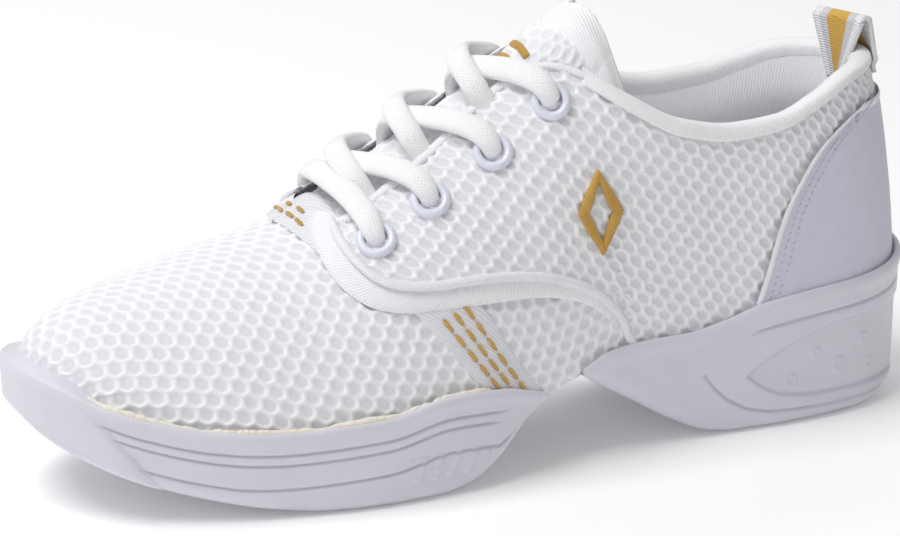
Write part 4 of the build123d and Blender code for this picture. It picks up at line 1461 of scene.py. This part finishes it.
def webbing_loop():
    """A loop of webbing over the back of the collar, sewn down outside and inside."""
    aside = np.array([-math.sin(TAB_TURN), math.cos(TAB_TURN), 0])
    back = np.array([math.cos(TAB_TURN), math.sin(TAB_TURN), 0])
    v = np.linspace(-TAB_HALF, TAB_HALF, 25)
    knots = []
    for z in np.linspace(90.5, 96.5, 8):
        tau = 0.5 + v * 0.00195
        bulge = 1.1 + 1.3 * ease((z - COLLAR_SEAM_Z + 2) / 2)
        knots.append(last(tau, rise_at(tau, z), bulge))
    for angle in np.linspace(0, math.pi, 15):
        at = np.array([TAB_AT[0] - LENGTH / 2, TAB_AT[1], TAB_BEND_Z + TAB_BEND * math.sin(angle)])
        knots.append(at + back * TAB_BEND * math.cos(angle) + aside * v[:, None])
    for z in np.linspace(92.5, 86, 8):
        tau = 0.5 + v * 0.0024
        knots.append(last(tau, rise_at(tau, z), -8.2))
    knots = np.array(knots)
    mid = np.stack([spline_points(knots[:, k], 150) for k in range(len(v))], 1)
    normal = unit(np.cross(np.gradient(mid, axis=0), np.gradient(mid, axis=1))) * TAB_THICK / 2
    closed = np.concatenate([mid + normal, (mid - normal)[:, ::-1]], 1)
    rows, columns = closed.shape[:2]
    both = np.r_[v, v[::-1]]
    uv = grid_uv(run_length(mid[:, len(v) // 2]), both)
    across = np.broadcast_to(np.abs(both)[None, :], (rows, columns))
    faces = np.vstack([grid_faces(rows, columns, wrap_columns=True), cap_faces(rows, columns)])
    obj = new_object("pull_tab_webbing", closed.reshape(-1, 3), faces, uv.reshape(-1, 2),
                     {"across": across.ravel()})
    return dress(obj, WEBBING)


pull_tab = webbing_loop()

# ---------------------------------------------------------------- CAD pieces kept as they are
def mottled_finish(name, colour, other, amount, grain, bump, **shine):
    """A plain finish with patches of another colour and a fine grain."""
    f = Finish(name, colour, **shine)
    f.tint(f.noise(f.body(grain[0]), 1.0), other, amount)
    f.bump(f.noise(f.body(grain[1]), 1.0), *bump)
    return f.mat


BOARD = mottled_finish("board", linear(190, 170, 140), linear(160, 140, 112), 0.5, (200, 900),
                       (0.4, 0.0003), rough=0.8)
STIFF = mottled_finish("stiffener", linear(225, 225, 228), linear(205, 205, 210), 0.5, (150, 800),
                       (0.2, 0.0002), rough=0.5)
AGLET = mottled_finish("aglet_clear", linear(236, 236, 240), linear(220, 220, 228), 0.4, (300, 900),
                       (0.08, 0.0001), rough=0.15, coat=0.5)
for node, finish in (("forefoot_insole_board", BOARD), ("heel_insole_board", BOARD),
                     ("toe_puff", STIFF), ("heel_counter_stiffener", STIFF), ("aglets", AGLET)):
    dress(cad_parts[node], finish)


def blend_over_arch(obj):
    """Bakes the object's transform into its mesh; it does not bend the cloth."""
    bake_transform(obj)


for obj in (vamp, vamp_lining, collar, lining, tongue, side_emblem, *quarters.values(),
            *tapes.values(), *pipings.values(), *throat_tapes.values()):
    blend_over_arch(obj)
for obj in (straps[True][0], straps[False][0], *eyelets.values(), strap_stitches, shoelace,
            tongue_emblem, forefoot_sole, glue, sockliners["forefoot"]):
    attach(obj, "forefoot")
for obj in (counter, heel_sole, sockliners["rearfoot"]):
    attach(obj, "rearfoot")
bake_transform(pull_tab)

for obj, nodes in (
    (vamp, ("vamp", "vamp_wings")),
    (vamp_lining, ("vamp_lining",)),
    (quarters[True], ("quarter_lateral_front", "quarter_lateral_rear")),
    (quarters[False], ("quarter_medial_front", "quarter_medial_rear")),
    (tapes[True], ("edge_tape_lateral",)),
    (tapes[False], ("edge_tape_medial",)),
    (straps[True][0], ("instep_strap",)),
    (eyelets[True], ("eyelets_lateral",)),
    (eyelets[False], ("eyelets_medial",)),
    (counter, ("heel_counter_panel",)),
    (collar, ("collar_binding",)),
    (lining, ("rear_lining", "collar_foam")),
    (tongue, ("tongue", "tongue_foam", "tongue_lining", "tongue_binding")),
    (tongue_emblem, ("tongue_emblem",)),
    (side_emblem, ("side_emblem",)),
    (shoelace, ("shoelace",)),
    (forefoot_sole, ("forefoot_outsole",)),
    (heel_sole, ("heel_outsole",)),
    (sockliners["forefoot"], ("forefoot_sockliner",)),
    (sockliners["rearfoot"], ("heel_sockliner",)),
    (pull_tab, ("pull_tab", "pull_tab_ends")),
):
    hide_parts(*nodes)

# ---------------------------------------------------------------- studio
floor_mesh = bpy.data.meshes.new("floor")
floor_mesh.from_pydata([(-6, -6, 0), (6, -6, 0), (6, 6, 0), (-6, 6, 0)], [], [(0, 1, 2, 3)])
floor = bpy.data.objects.new("floor", floor_mesh)
bpy.context.scene.collection.objects.link(floor)
dress(floor, FLOOR)

world = bpy.data.worlds.new("studio")
bpy.context.scene.world = world
world.use_nodes = True
world.node_tree.nodes["Background"].inputs["Color"].default_value = (1.0, 1.0, 1.0, 1.0)
world.node_tree.nodes["Background"].inputs["Strength"].default_value = 0.34


def area_light(name, location, target, size, power):
    data = bpy.data.lights.new(name, "AREA")
    data.shape = "RECTANGLE"
    data.size, data.size_y = size
    data.energy = power
    light = bpy.data.objects.new(name, data)
    light.location = location
    light.rotation_euler = (Vector(target) - Vector(location)).to_track_quat("-Z", "Y").to_euler()
    bpy.context.scene.collection.objects.link(light)


SHOE = (0, 0, 0.05)
area_light("key", (-0.55, -0.05, 1.10), SHOE, (0.8, 0.6), 9.6)
area_light("back_of_the_sweep", (0.5, 1.6, 1.5), (0.5, 1.6, 0), (2.4, 1.2), 14.0)
area_light("front_fill", (-0.9, -0.9, 0.7), SHOE, (0.9, 0.9), 1.2)

camera_data = bpy.data.cameras.new("camera")
camera = bpy.data.objects.new("camera", camera_data)
bpy.context.scene.collection.objects.link(camera)
camera.location = (-0.3565, -0.8058, 0.3282)
aim = Vector((0, 0, 0.045)) - camera.location
camera.rotation_euler = aim.to_track_quat("-Z", "Y").to_euler()
camera_data.lens = 136.3
camera_data.sensor_width = 36.0
camera_data.shift_x = -0.025
camera_data.shift_y = 0.0079
camera_data.clip_start = 0.01
bpy.context.scene.camera = camera
bpy.context.scene.view_settings.view_transform = "Standard"
